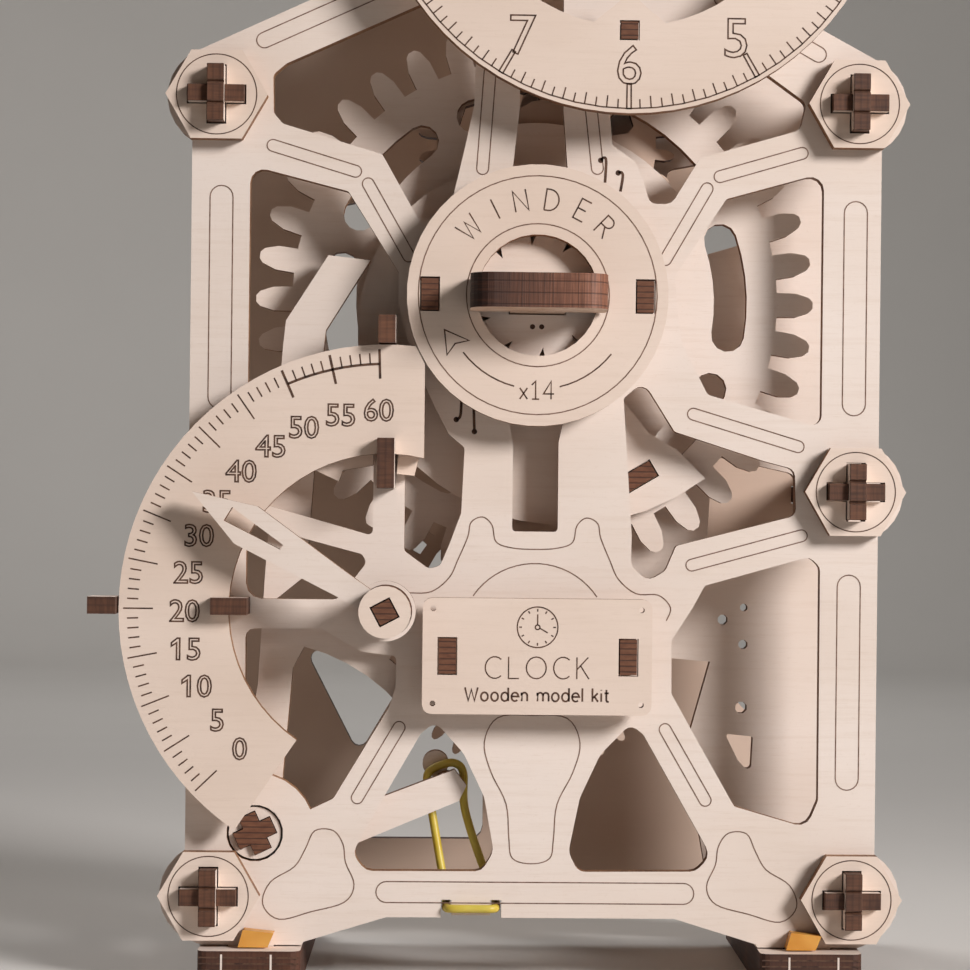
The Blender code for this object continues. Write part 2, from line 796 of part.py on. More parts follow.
def winding_arbor(clock):
    """A square bar with the spool of the rubber motor on it, and the rubber wound on the spool."""
    bar = rectangle((0, 0), KEY_ARBOR, KEY_ARBOR)
    spool = clock.facing_front("winding_arbor", [bar], PLY, POST_BACK, KEY)
    clock.join(spool, [circle((0, 0), 7.5, 20)], 44.0, 59.7)
    ring = [circle((0, 0), 10.8, 20), circle((0, 0), 7.8, 20)]
    clock.facing_front("motor_rubber", ring, 46.0, 57.7, KEY, "amber")


def ratchet_pawl(clock):
    """The click: its tip waits just outside the ratchet's teeth, and it lifts away."""
    tip = (-15.2, 1.3)
    outline = arc((0, 0), 3.6, -70, 110) + [(tip[0] + 1.5, tip[1] + 3.4), tip]
    outline += [(-9.0, -0.8)]
    pawl = clock.layer("ratchet_pawl", [outline], -1, CLICK)
    clock.join(pawl, [circle((0, 0), 2.0, 12)], -2.0, PLY)


# ---------------------------------------------------------------- trains


def main_wheel(clock):
    """The wheel that turns once an hour, its snail and the first pinion of the hour train."""
    windows = []
    for start in range(-14, 346, 45):
        peg_in_way = abs((PEG_ANGLE - start + 180) % 360 - 180) < 8
        windows.append(ring_slot(40.0, 47.4, start + 8 * peg_in_way, start + 38))
    peg = polar((0, 0), PEG_R, PEG_ANGLE)
    slot = rectangle(peg, 2 * PLY + 2 * SLOT_GAP, PLY + 2 * SLOT_GAP, PEG_ANGLE + 90)
    teeth = gear(MAIN_TEETH, MAIN_MODULE, add=1.3, ded=1.45, backlash=-STOUT)
    bore = circle((0, 0), KEY_BORE)
    clock.layer("main_wheel", [teeth, bore, slot] + windows, 3, KEY)
    clock.layer("snail_cam", [snail(), bore, slot], 2, KEY)
    key = rectangle((0, 0), 2 * PLY, PLY, PEG_ANGLE + 90)
    place = (KEY[0] + peg[0], KEY[1] + peg[1])
    clock.facing_front("cam_peg", [key], 2 * PITCH, 3 * PITCH + PLY, place, "burnt")
    pinion = gear(HOUR_PINION, IDLER_MODULE, turn=90, backlash=0.4)
    clock.layer("hour_pinion", [pinion, bore], 4, KEY)


def snail():
    """A spiral that grows evenly through one turn, then drops back in a curved step."""
    growth = (SNAIL_HIGH - SNAIL_LOW) / 360
    edge = [
        polar((0, 0), SNAIL_LOW + growth * 8 * i, SNAIL_STEP + 8 * i) for i in range(1, 45)
    ]
    step = [(SNAIL_HIGH, 0), (45.7, -0.2), (38.7, -3.1), (29.2, -2.5), (17.0, -3.5)]
    edge += [polar((0, 0), r, SNAIL_STEP + a) for r, a in step]
    return edge


def mesh_turn(driver, follower, turn, ratio_teeth, own_teeth):
    """Tooth 0's angle on a gear that meshes with a driver whose tooth 0 is at turn."""
    line = math.degrees(math.atan2(follower[1] - driver[1], follower[0] - driver[0]))
    pitch = 360 / own_teeth
    phase = ((line - turn) / (360 / ratio_teeth)) % 1
    return line + 180 + pitch * (phase + 0.5)


def square_bar(clock, name, pinion, layer, axis, front, back, size=ARBOR, turn=0.0):
    """A pinion cut in one with its square arbor."""
    at = layer * PITCH
    bar = clock.facing_front(name, [pinion], at, at + PLY, axis)
    clock.join(bar, [rectangle((0, 0), size, size, turn)], front, back)


def hour_train(clock):
    """Idler and hour wheel behind the main wheel: one turn in twelve hours."""
    turn = mesh_turn(KEY, IDLER, 90, HOUR_PINION, IDLER_TEETH)
    wheel = gear(IDLER_TEETH, IDLER_MODULE, turn=turn, backlash=0.4)
    holes = [square_hole((0, 0), ARBOR)]
    holes += [sector_window(10, 20, 72 * i + 8, 72 * i + 64) for i in range(5)]
    clock.layer("idler_wheel", [wheel] + holes, 4, IDLER)
    small = gear(IDLER_PINION, HOUR_MODULE, backlash=0.6)
    square_bar(clock, "idler_pinion", small, 5, IDLER, 4 * PITCH, POST_BACK - 2)
    turn = mesh_turn(IDLER, HOUR, 0, IDLER_PINION, HOUR_TEETH)
    wheel = gear(HOUR_TEETH, HOUR_MODULE, turn=turn, backlash=0.6)
    holes = [sector_window(13, 40, 60 * i + 6, 60 * i + 54) for i in range(6)]
    hour_wheel = clock.layer("hour_wheel", [wheel] + holes, 5, HOUR)
    clock.join(hour_wheel, [rectangle((0, 0), ARBOR, ARBOR)], -16.6, 30.0)
    hand = [(-6.0, 0), (-4.4, -4.4), (0, -6.0), (4.4, -4.4), (6.0, 0), (4.4, 4.4)]
    hand += [(2.2, 5.6), (2.2, 24.0), (4.4, 24.0), (0, 33.0), (-4.4, 24.0), (-2.2, 24.0)]
    hand += [(-2.2, 5.6), (-4.4, 4.4)]
    hand = [turned(p, HOUR_HAND_TURN) for p in hand]
    clock.layer("hour_hand", [hand, square_hole((0, 0), ARBOR)], -4, HOUR, "ply")


def turned(point, degrees):
    c, s = math.cos(math.radians(degrees)), math.sin(math.radians(degrees))
    return (point[0] * c - point[1] * s, point[0] * s + point[1] * c)


def going_train(clock):
    """Second wheel and escape wheel, between the middle plate and the back plate."""
    turn = mesh_turn(KEY, SECOND, 0, MAIN_TEETH, SECOND_PINION)
    pinion = gear(
        SECOND_PINION, MAIN_MODULE, turn=turn, add=0.8, ded=1.6, backlash=STOUT + PLAY
    )
    square_bar(clock, "second_pinion", pinion, 3, SECOND, -3.0, POST_BACK - 2)
    wheel = gear(SECOND_TEETH, SECOND_MODULE, backlash=0.4)
    holes = [square_hole((0, 0), ARBOR)]
    holes += [sector_window(10, 27, 60 * i + 6, 60 * i + 54) for i in range(6)]
    clock.layer("second_wheel", [wheel] + holes, 8, SECOND)
    turn = mesh_turn(SECOND, ESCAPE, 0, SECOND_TEETH, ESCAPE_PINION)
    pinion = gear(ESCAPE_PINION, SECOND_MODULE, turn=turn, ded=1.45, backlash=0.4)
    square_bar(clock, "escape_pinion", pinion, 8, ESCAPE, 22.0, POST_BACK - 2)
    points = []
    for i in range(ESCAPE_TEETH):
        a = 360 * i / ESCAPE_TEETH
        points += [polar((0, 0), 13.2, a - 8), polar((0, 0), 18.0, a), polar((0, 0), 18.0, a + 2)]
    clock.layer("escape_wheel", [points, square_hole((0, 0), ARBOR)], 10, ESCAPE)


def pendulum(clock):
    """The anchor over the escape wheel, and the pendulum behind the back plate."""
    down = (0.0, ESCAPE[1] - PENDULUM[1])
    inner, outer = 20.2, 24.6
    anchor = arc(down, inner, 35, 145, 11)
    anchor += arc(down, outer, 145, 110, 12) + arc((0, 0), 6.0, 200, -20, 36)
    anchor += arc(down, outer, 70, 35, 12)
    pallets = clock.layer("anchor", [anchor], 10, PENDULUM)
    clock.join(pallets, [rectangle((0, 0), ARBOR, ARBOR)], 22.0, 79.7)
    drop = BOB_DROP
    rod = arc((0, 0), 6.0, -30, 210, 36) + [(-2.6, -10.0), (-2.6, -drop - 18)]
    rod += [(2.6, -drop - 18), (2.6, -10.0)]
    clock.layer("pendulum_rod", [rod, square_hole((0, 0), ARBOR)], 18, PENDULUM)
    clock.layer("pendulum_bob", [circle((0, -drop), 15.0, 32)], 19, PENDULUM)


# ---------------------------------------------------------------- minute hand and its lever

def minute_hand(clock):
    """The hand, the disc that caps it and the arbor with its collar and pinion."""
    side = [(5.0, 2.4), (10.5, 2.7), (35.0, 4.7)]
    back = arc((0, 0), 5.3, 28, 332, 19)
    hand = back + [(x, -z) for x, z in side] + [(48.5, 0.0)] + side[::-1]
    hand = [turned(p, HAND_ANGLE) for p in hand]
    slot = [turned(p, HAND_ANGLE) for p in [(26.0, -0.6), (39.5, -1.7), (39.5, 1.7), (26.0, 0.6)]]
    hole = square_hole((0, 0), HAND_ARBOR, HAND_ARBOR_TURN)
    clock.layer("minute_hand", [hand, slot, hole], -4, HAND)
    clock.layer("hand_cap", [circle((0, 0), 5.6, 24), hole], -5, HAND)
    turn = mesh_turn(LEVER, HAND, RACK_TURN, RACK_TEETH, HAND_PINION)
    pinion = gear(HAND_PINION, RACK_MODULE, turn=turn, backlash=0.4)
    square = rectangle((0, 0), HAND_ARBOR, HAND_ARBOR, HAND_ARBOR_TURN)
    arbor = clock.facing_front("hand_arbor", [pinion], PITCH, PITCH + PLY, HAND)
    clock.join(arbor, [square], -20.2, 30.0)
    clock.join(arbor, [circle((0, 0), 5.6, 20)], -12.0, -GAP)


def rack_lever(clock):
    """The lever: a long arm to the snail, a toothed arch for the hand and a hooked arm."""
    centre = (0, 0)
    arm = [(-3.6, 8.4), (0.1, 32.6), (1.4, 56.5), (4.8, 106.7), (5.4, 112.5), (14.6, 127.0)]
    arm += [(23.8, 126.0), (14.2, 110.5), (13.8, 106.7), (10.4, 56.5)]
    rack = teeth_between(
        RACK_TEETH, RACK_MODULE, 0, RACK_COUNT, backlash=0.4, turn=RACK_TURN
    )
    arch = arc(centre, 51.0, 86, 82, 4) + rack[::-1]
    arch += arc(centre, 42.0, 41, 76, 8) + [(7.7, 36.0), (5.4, 8.0)]
    hook = [(8.5, 3.6), (22.6, 5.8), (43.5, 13.9), (46.2, 10.4), (44.6, 7.0), (20.5, -3.2)]
    hook += [(8.2, -3.8)]
    hub = arc(centre, 9.0, -35, -230, 20)
    outline = arm + arch + hook + hub
    lever = clock.layer("rack_lever", [outline, cross_hole_small()], 1, LEVER)
    clock.join(lever, [circle(BAND_PEG, 2.4, 12)], PITCH + 0.5, 14.0)
    shaft = [turned(p, SHAFT_TURN) for p in cross((0, 0), 8.6, PLY)]
    clock.facing_front("lever_shaft", [shaft], -0.5, 70.0, LEVER, "burnt")


def cross_hole_small():
    return [turned(p, SHAFT_TURN) for p in cross((0, 0), 9.2, PLY + 2 * SLOT_GAP)]


def return_band(clock):
    """A rubber band from the lever's peg to the tab in the frame's lower edge."""
    x, z = LEVER[0] + BAND_PEG[0], LEVER[1] + BAND_PEG[1]
    route = [(*polar((x, z), 3.5, a), 9.6) for a in range(10, 171, 20)]
    route += [(-22.0, 37.6, 8.6), (-19.9, 26.0, 6.2), (-18.6, 19.8, 5.1)]
    route += [(-18.5, 17.4, 4.2), (-18.5, 16.7, 2.0), (-18.5, 16.6, -0.4), (-17.7, 16.6, -1.3)]
    route += [(-13.0, 16.6, -1.3), (-8.4, 16.6, -1.3), (-7.6, 16.6, -0.4), (-7.6, 16.7, 2.0)]
    route += [(-7.6, 17.4, 4.2), (-7.9, 19.8, 5.1), (-10.8, 26.0, 6.2), (-14.6, 37.6, 8.6)]
    curve = bpy.data.curves.new("return_band", "CURVE")
    curve.dimensions = "3D"
    curve.bevel_depth = 0.8 * MM
    curve.bevel_resolution = 1
    spline = curve.splines.new("POLY")
    spline.points.add(len(route) - 1)
    for point, (px, pz, py) in zip(spline.points, route):
        point.co = (px * MM, py * MM, pz * MM, 1)
    spline.use_cyclic_u = True
    curve.materials.append(material("yellow"))
    band = bpy.data.objects.new("return_band", curve)
    band.parent = clock.empty
    bpy.context.scene.collection.objects.link(band)


def main():
    for old in list(bpy.data.objects):
        bpy.data.objects.remove(old, do_unlink=True)
    clock = Clock()
    front_plate(clock)
    middle_plate(clock)
    back_plate(clock)
    posts_and_caps(clock)
    feet(clock)
    hour_dial(clock)
    minute_scale(clock)
    winding_plate(clock)
    nameplate(clock)
    flat_pegs(clock)
    winding_handle(clock)
    ratchet_disc(clock)
    winding_arbor(clock)
    ratchet_pawl(clock)
    main_wheel(clock)
    hour_train(clock)
    going_train(clock)
    pendulum(clock)
    minute_hand(clock)
    rack_lever(clock)
    return_band(clock)


main()
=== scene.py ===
"""The looks of a plywood clock: burnt edges, engraving, lettering, rubber and light.

Lengths are in millimetres from the front plate: x from its middle, z from the ground, and y into
the clock from the plate's front face. The function at() turns them into the frame's metres.
"""

import json
import math

import bpy
from mathutils import Matrix, Vector


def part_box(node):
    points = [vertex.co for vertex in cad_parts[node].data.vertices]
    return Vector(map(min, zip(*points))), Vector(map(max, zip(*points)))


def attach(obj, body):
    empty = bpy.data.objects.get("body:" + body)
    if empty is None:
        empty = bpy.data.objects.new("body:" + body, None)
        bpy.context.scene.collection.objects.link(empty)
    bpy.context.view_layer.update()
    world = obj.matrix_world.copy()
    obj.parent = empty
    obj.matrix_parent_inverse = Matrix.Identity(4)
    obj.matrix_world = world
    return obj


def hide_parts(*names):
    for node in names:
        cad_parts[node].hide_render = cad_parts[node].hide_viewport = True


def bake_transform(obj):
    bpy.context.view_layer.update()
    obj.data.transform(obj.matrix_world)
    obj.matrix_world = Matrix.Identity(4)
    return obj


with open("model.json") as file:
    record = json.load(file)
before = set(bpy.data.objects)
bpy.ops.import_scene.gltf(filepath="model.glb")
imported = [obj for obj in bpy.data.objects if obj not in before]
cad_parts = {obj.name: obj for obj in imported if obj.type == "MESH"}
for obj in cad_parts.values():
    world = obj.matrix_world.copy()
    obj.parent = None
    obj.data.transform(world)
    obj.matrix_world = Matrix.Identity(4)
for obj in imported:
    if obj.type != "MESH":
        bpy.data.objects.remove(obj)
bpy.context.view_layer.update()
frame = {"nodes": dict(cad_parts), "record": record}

MM = 0.001
PLY = 3.7
PITCH = 4.0

PLATE_LOW, PLATE_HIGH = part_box("front_plate")
MIDDLE_X = (PLATE_LOW[0] + PLATE_HIGH[0]) / 2
FACE_Y = PLATE_LOW[1]
JOINTS = {joint["name"]: joint for joint in frame["record"]["behaviour"]["joints"]}


def at(x, z, y=0.0):
    """A point of the clock, from millimetres to the frame's metres."""
    return Vector((MIDDLE_X + x * MM, FACE_Y + y * MM, z * MM))


def axis_of(joint):
    """Where a joint's axis is, as (x, z) in millimetres."""
    x, _, z = JOINTS[joint]["pos_m"]
    return ((x - MIDDLE_X) / MM, z / MM)


def layer_face(layer):
    """The front face of a layer of ply."""
    return layer * PITCH


def across_of(low, high):
    """A box's left and right, in millimetres."""
    return (low[0] - MIDDLE_X) / MM, (high[0] - MIDDLE_X) / MM


def depth_of(low, high):
    """A box's front and back, in millimetres."""
    return (low[1] - FACE_Y) / MM, (high[1] - FACE_Y) / MM


def middle_of(low, high):
    """A box's middle as it is seen from the front, in millimetres."""
    return (((low[0] + high[0]) / 2 - MIDDLE_X) / MM, (low[2] + high[2]) / 2 / MM)


KEY = axis_of("winding_key")
HOUR = axis_of("hour_hand_spin")
HAND = axis_of("minute_hand_swing")
LEVER = axis_of("lever_pivot")

DIAL_FACE = layer_face(-3)
SCALE_FACE = layer_face(-2)
RATCHET_FACE = layer_face(-1)


# ---------------------------------------------------------------- materials


class Graph:
    """A short way to write a material's nodes."""

    def __init__(self, name):
        self.material = bpy.data.materials.new(name)
        self.material.use_nodes = True
        self.tree = self.material.node_tree
        self.shader = self.tree.nodes["Principled BSDF"]
        coordinates = self.tree.nodes.new("ShaderNodeTexCoord")
        self.place = coordinates.outputs["Object"]
        self.normal = coordinates.outputs["Normal"]

    def feed(self, socket, value):
        """Link an output to a socket, or set the socket's own value."""
        if isinstance(value, bpy.types.NodeSocket):
            self.tree.links.new(value, socket)
        else:
            socket.default_value = value

    def math(self, operation, *values):
        """The result of an operation on one or two values."""
        node = self.tree.nodes.new("ShaderNodeMath")
        node.operation = operation
        for socket, value in zip(node.inputs, values):
            self.feed(socket, value)
        return node.outputs[0]

    def split(self, vector):
        """A vector's x, y and z."""
        node = self.tree.nodes.new("ShaderNodeSeparateXYZ")
        self.feed(node.inputs[0], vector)
        return node.outputs

    def stretched(self, scale, turn=(0, 0, 0)):
        """Places on the object, turned and scaled along each axis."""
        node = self.tree.nodes.new("ShaderNodeMapping")
        self.feed(node.inputs["Vector"], self.place)
        node.inputs["Scale"].default_value = scale
        node.inputs["Rotation"].default_value = turn
        return node.outputs[0]

    def noise(self, vector, scale, detail=3.0, roughness=0.55):
        """Soft noise about 0.5 at these places."""
        node = self.tree.nodes.new("ShaderNodeTexNoise")
        self.feed(node.inputs["Vector"], vector)
        node.inputs["Scale"].default_value = scale
        node.inputs["Detail"].default_value = detail
        node.inputs["Roughness"].default_value = roughness
        return node.outputs["Fac"]

    def steps(self, value, low, high):
        """The value spread from low..high to 0..1."""
        node = self.tree.nodes.new("ShaderNodeMapRange")
        self.feed(node.inputs["Value"], value)
        node.inputs["From Min"].default_value = low
        node.inputs["From Max"].default_value = high
        return node.outputs[0]

    def mix(self, amount, a, b):
        """The colour a where the amount is 0, and b where it is 1."""
        node = self.tree.nodes.new("ShaderNodeMix")
        node.data_type = "RGBA"
        self.feed(node.inputs["Factor"], amount)
        self.feed(node.inputs["A"], a)
        self.feed(node.inputs["B"], b)
        return node.outputs["Result"]

    def bump(self, height, strength, distance):
        """Relief on the surface, by this height."""
        node = self.tree.nodes.new("ShaderNodeBump")
        node.inputs["Strength"].default_value = strength
        node.inputs["Distance"].default_value = distance
        self.feed(node.inputs["Height"], height)
        self.tree.links.new(node.outputs[0], self.shader.inputs["Normal"])

    def finish(self, colour, roughness):
        """The finished material."""
        self.feed(self.shader.inputs["Base Color"], colour)
        self.feed(self.shader.inputs["Roughness"], roughness)
        return self.material


def linear(red, green, blue):
    """A colour given as 0-255 sRGB, as the shader wants it."""
    values = []
    for v in (red, green, blue):
        v /= 255
        values.append(v / 12.92 if v <= 0.04045 else ((v + 0.055) / 1.055) ** 2.4)
    return (*values, 1.0)


FACE_PALE = linear(238, 223, 212)
FACE_TAN = linear(229, 211, 197)
FACE_LINE = linear(212, 188, 168)
EDGE_TAN = linear(178, 132, 92)
EDGE_BROWN = linear(96, 56, 36)
EDGE_DARK = linear(44, 22, 14)
EDGE_RED = linear(118, 76, 52)
# Painted light: the lit right end of the handle's rounded front.
EDGE_PAINTED_LIGHT = linear(150, 98, 74)
BURNT_LINE = linear(98, 68, 50)
CHARRED = linear(58, 36, 26)
FAINT_LINE = linear(136, 106, 90)
PLAIN_TONE = (FACE_PALE, FACE_TAN)
WARM_TONE = (linear(235, 215, 200), linear(225, 203, 186))
# Painted shade: a darker tone for the parts deep inside the clock, in place of the shade they lie in.
PAINTED_SHADE_TONE = (linear(214, 190, 172), linear(196, 168, 148))
AMBER_TONE = (linear(228, 170, 84), linear(206, 140, 52))
YELLOW_TONE = (linear(222, 204, 96), linear(204, 176, 56))
FLOOR_TONE = (linear(212, 208, 203), linear(219, 215, 210))

AXES = {"x": 0, "y": 1, "z": 2}

# How often each pattern of the wood repeats in a metre, along x, y and z.
BLOTCHES = (14, 14, 30)
STREAKS = (50, 50, 900)
PORES = (260, 260, 4200)
SPECKLES = (1500, 1500, 1500)
CLOUDS = (90, 90, 90)
STRIATION = {"x": (150, 1900, 1900), "y": (1900, 150, 1900), "z": (1900, 1900, 150)}
SEAMS_PER_PLY = 5.0
PEG_SEAM_PITCH = 1.25


def ply(name, axis="y", edges=(EDGE_TAN, EDGE_BROWN), start=0.0, grain_turn=0.0, tone=PLAIN_TONE):
    """Birch ply: a pale grained face across one axis, and burnt edges with the plies' seams."""
    g = Graph(name)
    turn = (0, grain_turn, 0)
    pale, tan = tone
    blotch = g.noise(g.stretched(BLOTCHES), 1.0, 2.0)
    streak = g.noise(g.stretched(STREAKS, turn), 1.0, 4.0, 0.6)
    pores = g.noise(g.stretched(PORES, turn), 1.0, 2.0, 0.5)
    speckle = g.noise(g.stretched(SPECKLES), 1.0, 2.0)
    face = g.mix(g.steps(blotch, 0.35, 0.7), pale, tan)
    face = g.mix(g.math("MULTIPLY", g.steps(streak, 0.5, 0.8), 0.3), face, FACE_LINE)
    face = g.mix(g.math("MULTIPLY", g.steps(pores, 0.6, 0.75), 0.22), face, FACE_LINE)
    face = g.mix(g.math("MULTIPLY", g.steps(speckle, 0.62, 0.8), 0.2), face, FACE_LINE)
    along = g.split(g.place)[AXES[axis]]
    depth = g.math("DIVIDE", g.math("SUBTRACT", along, start), PLY * MM)
    wave = g.math("SINE", g.math("MULTIPLY", depth, SEAMS_PER_PLY * math.pi))
    seam = g.steps(wave, 0.2, 0.9)
    cloud = g.noise(g.stretched(CLOUDS), 1.0, 2.0)
    char = g.noise(g.stretched(STRIATION[axis]), 1.0, 2.0)
    both = g.math("ADD", g.steps(char, 0.2, 0.8), g.steps(cloud, 0.3, 0.7))
    scorch = g.math("MULTIPLY", both, 0.5)
    edge = g.mix(scorch, edges[0], edges[1])
    edge = g.mix(g.math("MULTIPLY", seam, g.math("MULTIPLY", cloud, 0.6)), edge, EDGE_DARK)
    facing = g.math("ABSOLUTE", g.split(g.normal)[AXES[axis]])
    is_face = g.math("GREATER_THAN", facing, 0.7)
    colour = g.mix(is_face, edge, face)
    g.bump(g.math("ADD", streak, g.math("MULTIPLY", seam, 0.4)), 0.12, 0.0002)
    roughness = g.math("ADD", 0.55, g.math("MULTIPLY", streak, 0.2))
    return g.finish(colour, roughness)


def handle_ply(name, low, high):
    """The handle's burnt front: fine lines along its depth, three seams, and painted shade that is
    darker to the left and lighter to the right, where the light falls.
    """
    g = Graph(name)
    x, _, z = g.split(g.place)
    lines = g.noise(g.stretched((2600, 2600, 60)), 1.0, 2.0)
    across = g.noise(g.stretched((120, 120, 2400)), 1.0, 3.0)
    # Painted shade and light: the handle's front runs from dark on the left to lit on the right, as the
    # key light falls.
    edge = g.mix(g.steps(x, low.x + 0.002, high.x - 0.002), EDGE_DARK, EDGE_PAINTED_LIGHT)
    edge = g.mix(g.math("MULTIPLY", g.steps(lines, 0.4, 0.65), 0.6), edge, EDGE_DARK)
    edge = g.mix(g.math("MULTIPLY", g.steps(across, 0.5, 0.72), 0.5), edge, EDGE_BROWN)
    up = g.math("DIVIDE", g.math("SUBTRACT", z, low.z), high.z - low.z)
    seam = g.steps(g.math("SINE", g.math("MULTIPLY", up, 6 * math.pi)), 0.85, 1.0)
    edge = g.mix(g.math("MULTIPLY", seam, 0.6), edge, EDGE_DARK)
    facing = g.math("ABSOLUTE", g.split(g.normal)[2])
    colour = g.mix(g.math("GREATER_THAN", facing, 0.7), edge, g.mix(across, FACE_TAN, EDGE_TAN))
    g.bump(g.math("SUBTRACT", lines, seam), 0.35, 0.0003)
    return g.finish(colour, 0.6)


def burnt(name, colour=BURNT_LINE, dark=CHARRED):
    """Wood that the laser has scorched, uneven along its run."""
    g = Graph(name)
    char = g.noise(g.stretched((700, 700, 700)), 1.0, 3.0)
    g.bump(char, 0.2, 0.0001)
    return g.finish(g.mix(g.steps(char, 0.4, 0.65), colour, dark), 0.75)


def rubber(name, tone, through):
    """Rubber with a faint dust and a little light passing through it."""
    g = Graph(name)
    dust = g.noise(g.stretched((900, 900, 900)), 1.0, 4.0)
    cloud = g.noise(g.stretched(CLOUDS), 1.0, 2.0)
    g.shader.inputs["Subsurface Weight"].default_value = through
    g.shader.inputs["Subsurface Radius"].default_value = (0.002, 0.001, 0.0004)
    g.bump(dust, 0.15, 0.0001)
    roughness = g.math("ADD", 0.3, g.math("MULTIPLY", dust, 0.25))
    return g.finish(g.mix(g.steps(cloud, 0.35, 0.65), *tone), roughness)


def peg_ends(name):
    """The end of a peg or post: cut across the plies, so its seams show on its end."""
    g = Graph(name)
    up = g.split(g.place)[AXES["z"]]
    char = g.noise(g.stretched((500, 200, 1400)), 1.0, 4.0)
    wave = g.math("SINE", g.math("MULTIPLY", up, 2 * math.pi / (PEG_SEAM_PITCH * MM)))
    seam = g.steps(wave, 0.55, 0.95)
    colour = g.mix(g.steps(char, 0.3, 0.7), EDGE_RED, EDGE_BROWN)
    colour = g.mix(g.math("MULTIPLY", seam, 0.7), colour, EDGE_DARK)
    g.bump(g.math("SUBTRACT", char, seam), 0.3, 0.0002)
    return g.finish(colour, 0.7)


BURNT = burnt("burnt_line")
FAINT = burnt("faint_line", FAINT_LINE, BURNT_LINE)
PLY_FACING = ply("ply_facing", start=FACE_Y)
PLY_TURNED = ply("ply_grain_turned", start=FACE_Y, grain_turn=math.radians(62))
PLY_WARM = ply("ply_warm", start=FACE_Y, grain_turn=math.radians(20), tone=WARM_TONE)
# Painted shade: darker faces and edges for the inner parts, in place of the shade behind the front
# plate.
PLY_PAINTED_SHADE = ply("ply_inner_painted_shade", edges=(EDGE_BROWN, EDGE_DARK), start=FACE_Y, tone=PAINTED_SHADE_TONE)
AMBER = rubber("amber_rubber", AMBER_TONE, 0.25)
YELLOW = rubber("yellow_rubber", YELLOW_TONE, 0.2)
PLY_PEG = peg_ends("peg_end_grain")


# ---------------------------------------------------------------- outlines

ARC_STEP = 6.0
END_STEP = 18.0


def polar(centre, radius, degrees):
    """A point round a centre, by its radius and angle."""
    a = math.radians(degrees)
    return (centre[0] + radius * math.cos(a), centre[1] + radius * math.sin(a))


def arc(centre, radius, start, end, step=ARC_STEP):
    """Points from one angle to the other, in degrees, both ends included."""
    count = max(1, math.ceil(abs(end - start) / step))
    return [polar(centre, radius, start + (end - start) * i / count) for i in range(count + 1)]


def ring(centre, radius, step=ARC_STEP):
    """A whole circle."""
    return arc(centre, radius, 0, 360, step)[:-1]


def stadium(a, b, width):
    """A slot with round ends, between the centres of its ends."""
    heading = math.degrees(math.atan2(b[1] - a[1], b[0] - a[0]))
    ends = arc(b, width / 2, heading - 90, heading + 90, END_STEP)
    return ends + arc(a, width / 2, heading + 90, heading + 270, END_STEP)


def smooth(points, closed, cuts=5):
    """A curve through points of a plane or of space (Catmull-Rom)."""
    out = []
    count = len(points)
    spans = count if closed else count - 1
    for i in range(spans):
        if closed:
            near = [Vector(points[(i + k) % count]) for k in (-1, 0, 1, 2)]
        else:
            near = [Vector(points[min(max(i + k, 0), count - 1)]) for k in (-1, 0, 1, 2)]
        for j in range(cuts):
            t = j / cuts
            p = near[1] * 2 + (near[2] - near[0]) * t
            p += (near[0] * 2 - near[1] * 5 + near[2] * 4 - near[3]) * t**2
            p += (near[1] * 3 - near[0] - near[2] * 3 + near[3]) * t**3
            out.append(tuple(p / 2))
    if not closed:
        out.append(tuple(points[-1]))
    return out


def mirrored(points):
    """The same points on the other side of the clock's middle."""
    return [(-x, z) for x, z in points]


# ---------------------------------------------------------------- pieces

PROUD = 0.03
RIM_WIDTH = 0.13
RIM_ANGLE = 40


def placed(name, mesh, body):
    """A mesh as a piece of the clock, attached to its body when one is given."""
    made = bpy.data.objects.new(name, mesh)
    bpy.context.scene.collection.objects.link(made)
    if body:
        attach(made, body)
    return made


def piece(name, vertices, faces, material, body):
    """A piece from its vertices and faces."""
    mesh = bpy.data.meshes.new(name)
    mesh.from_pydata(vertices, [], faces)
    mesh.materials.append(material)
    return placed(name, mesh, body)


def scorched_rim(thing, slot):
    """A narrow chamfer along every sharp edge, in the material of this slot."""
    rim = thing.modifiers.new("scorched_rim", "BEVEL")
    rim.width = RIM_WIDTH * MM
    rim.segments = 1
    rim.limit_method = "ANGLE"
    rim.angle_limit = math.radians(RIM_ANGLE)
    rim.material = slot


def flat_piece(name, loops, centre, front, back, material, body):
    """A flat piece with holes, its loops in millimetres round a centre (x, z)."""
    curve = bpy.data.curves.new(name, "CURVE")
    curve.dimensions = "2D"
    curve.fill_mode = "BOTH"
    curve.extrude = (back - front) / 2 * MM
    for loop in loops:
        spline = curve.splines.new("POLY")
        spline.points.add(len(loop) - 1)
        for point, (x, z) in zip(spline.points, loop):
            point.co = (x * MM, z * MM, 0, 1)
        spline.use_cyclic_u = True
    outline = bpy.data.objects.new(name, curve)
    mesh = bpy.data.meshes.new_from_object(outline)
    bpy.data.objects.remove(outline)
    bpy.data.curves.remove(curve)
    standing = Matrix.Rotation(math.radians(90), 4, "X")
    mesh.transform(Matrix.Translation(at(*centre, (front + back) / 2)) @ standing)
    mesh.materials.clear()
    mesh.materials.append(material)
    mesh.materials.append(BURNT)
    made = placed(name, mesh, body)
    scorched_rim(made, 1)
    return made


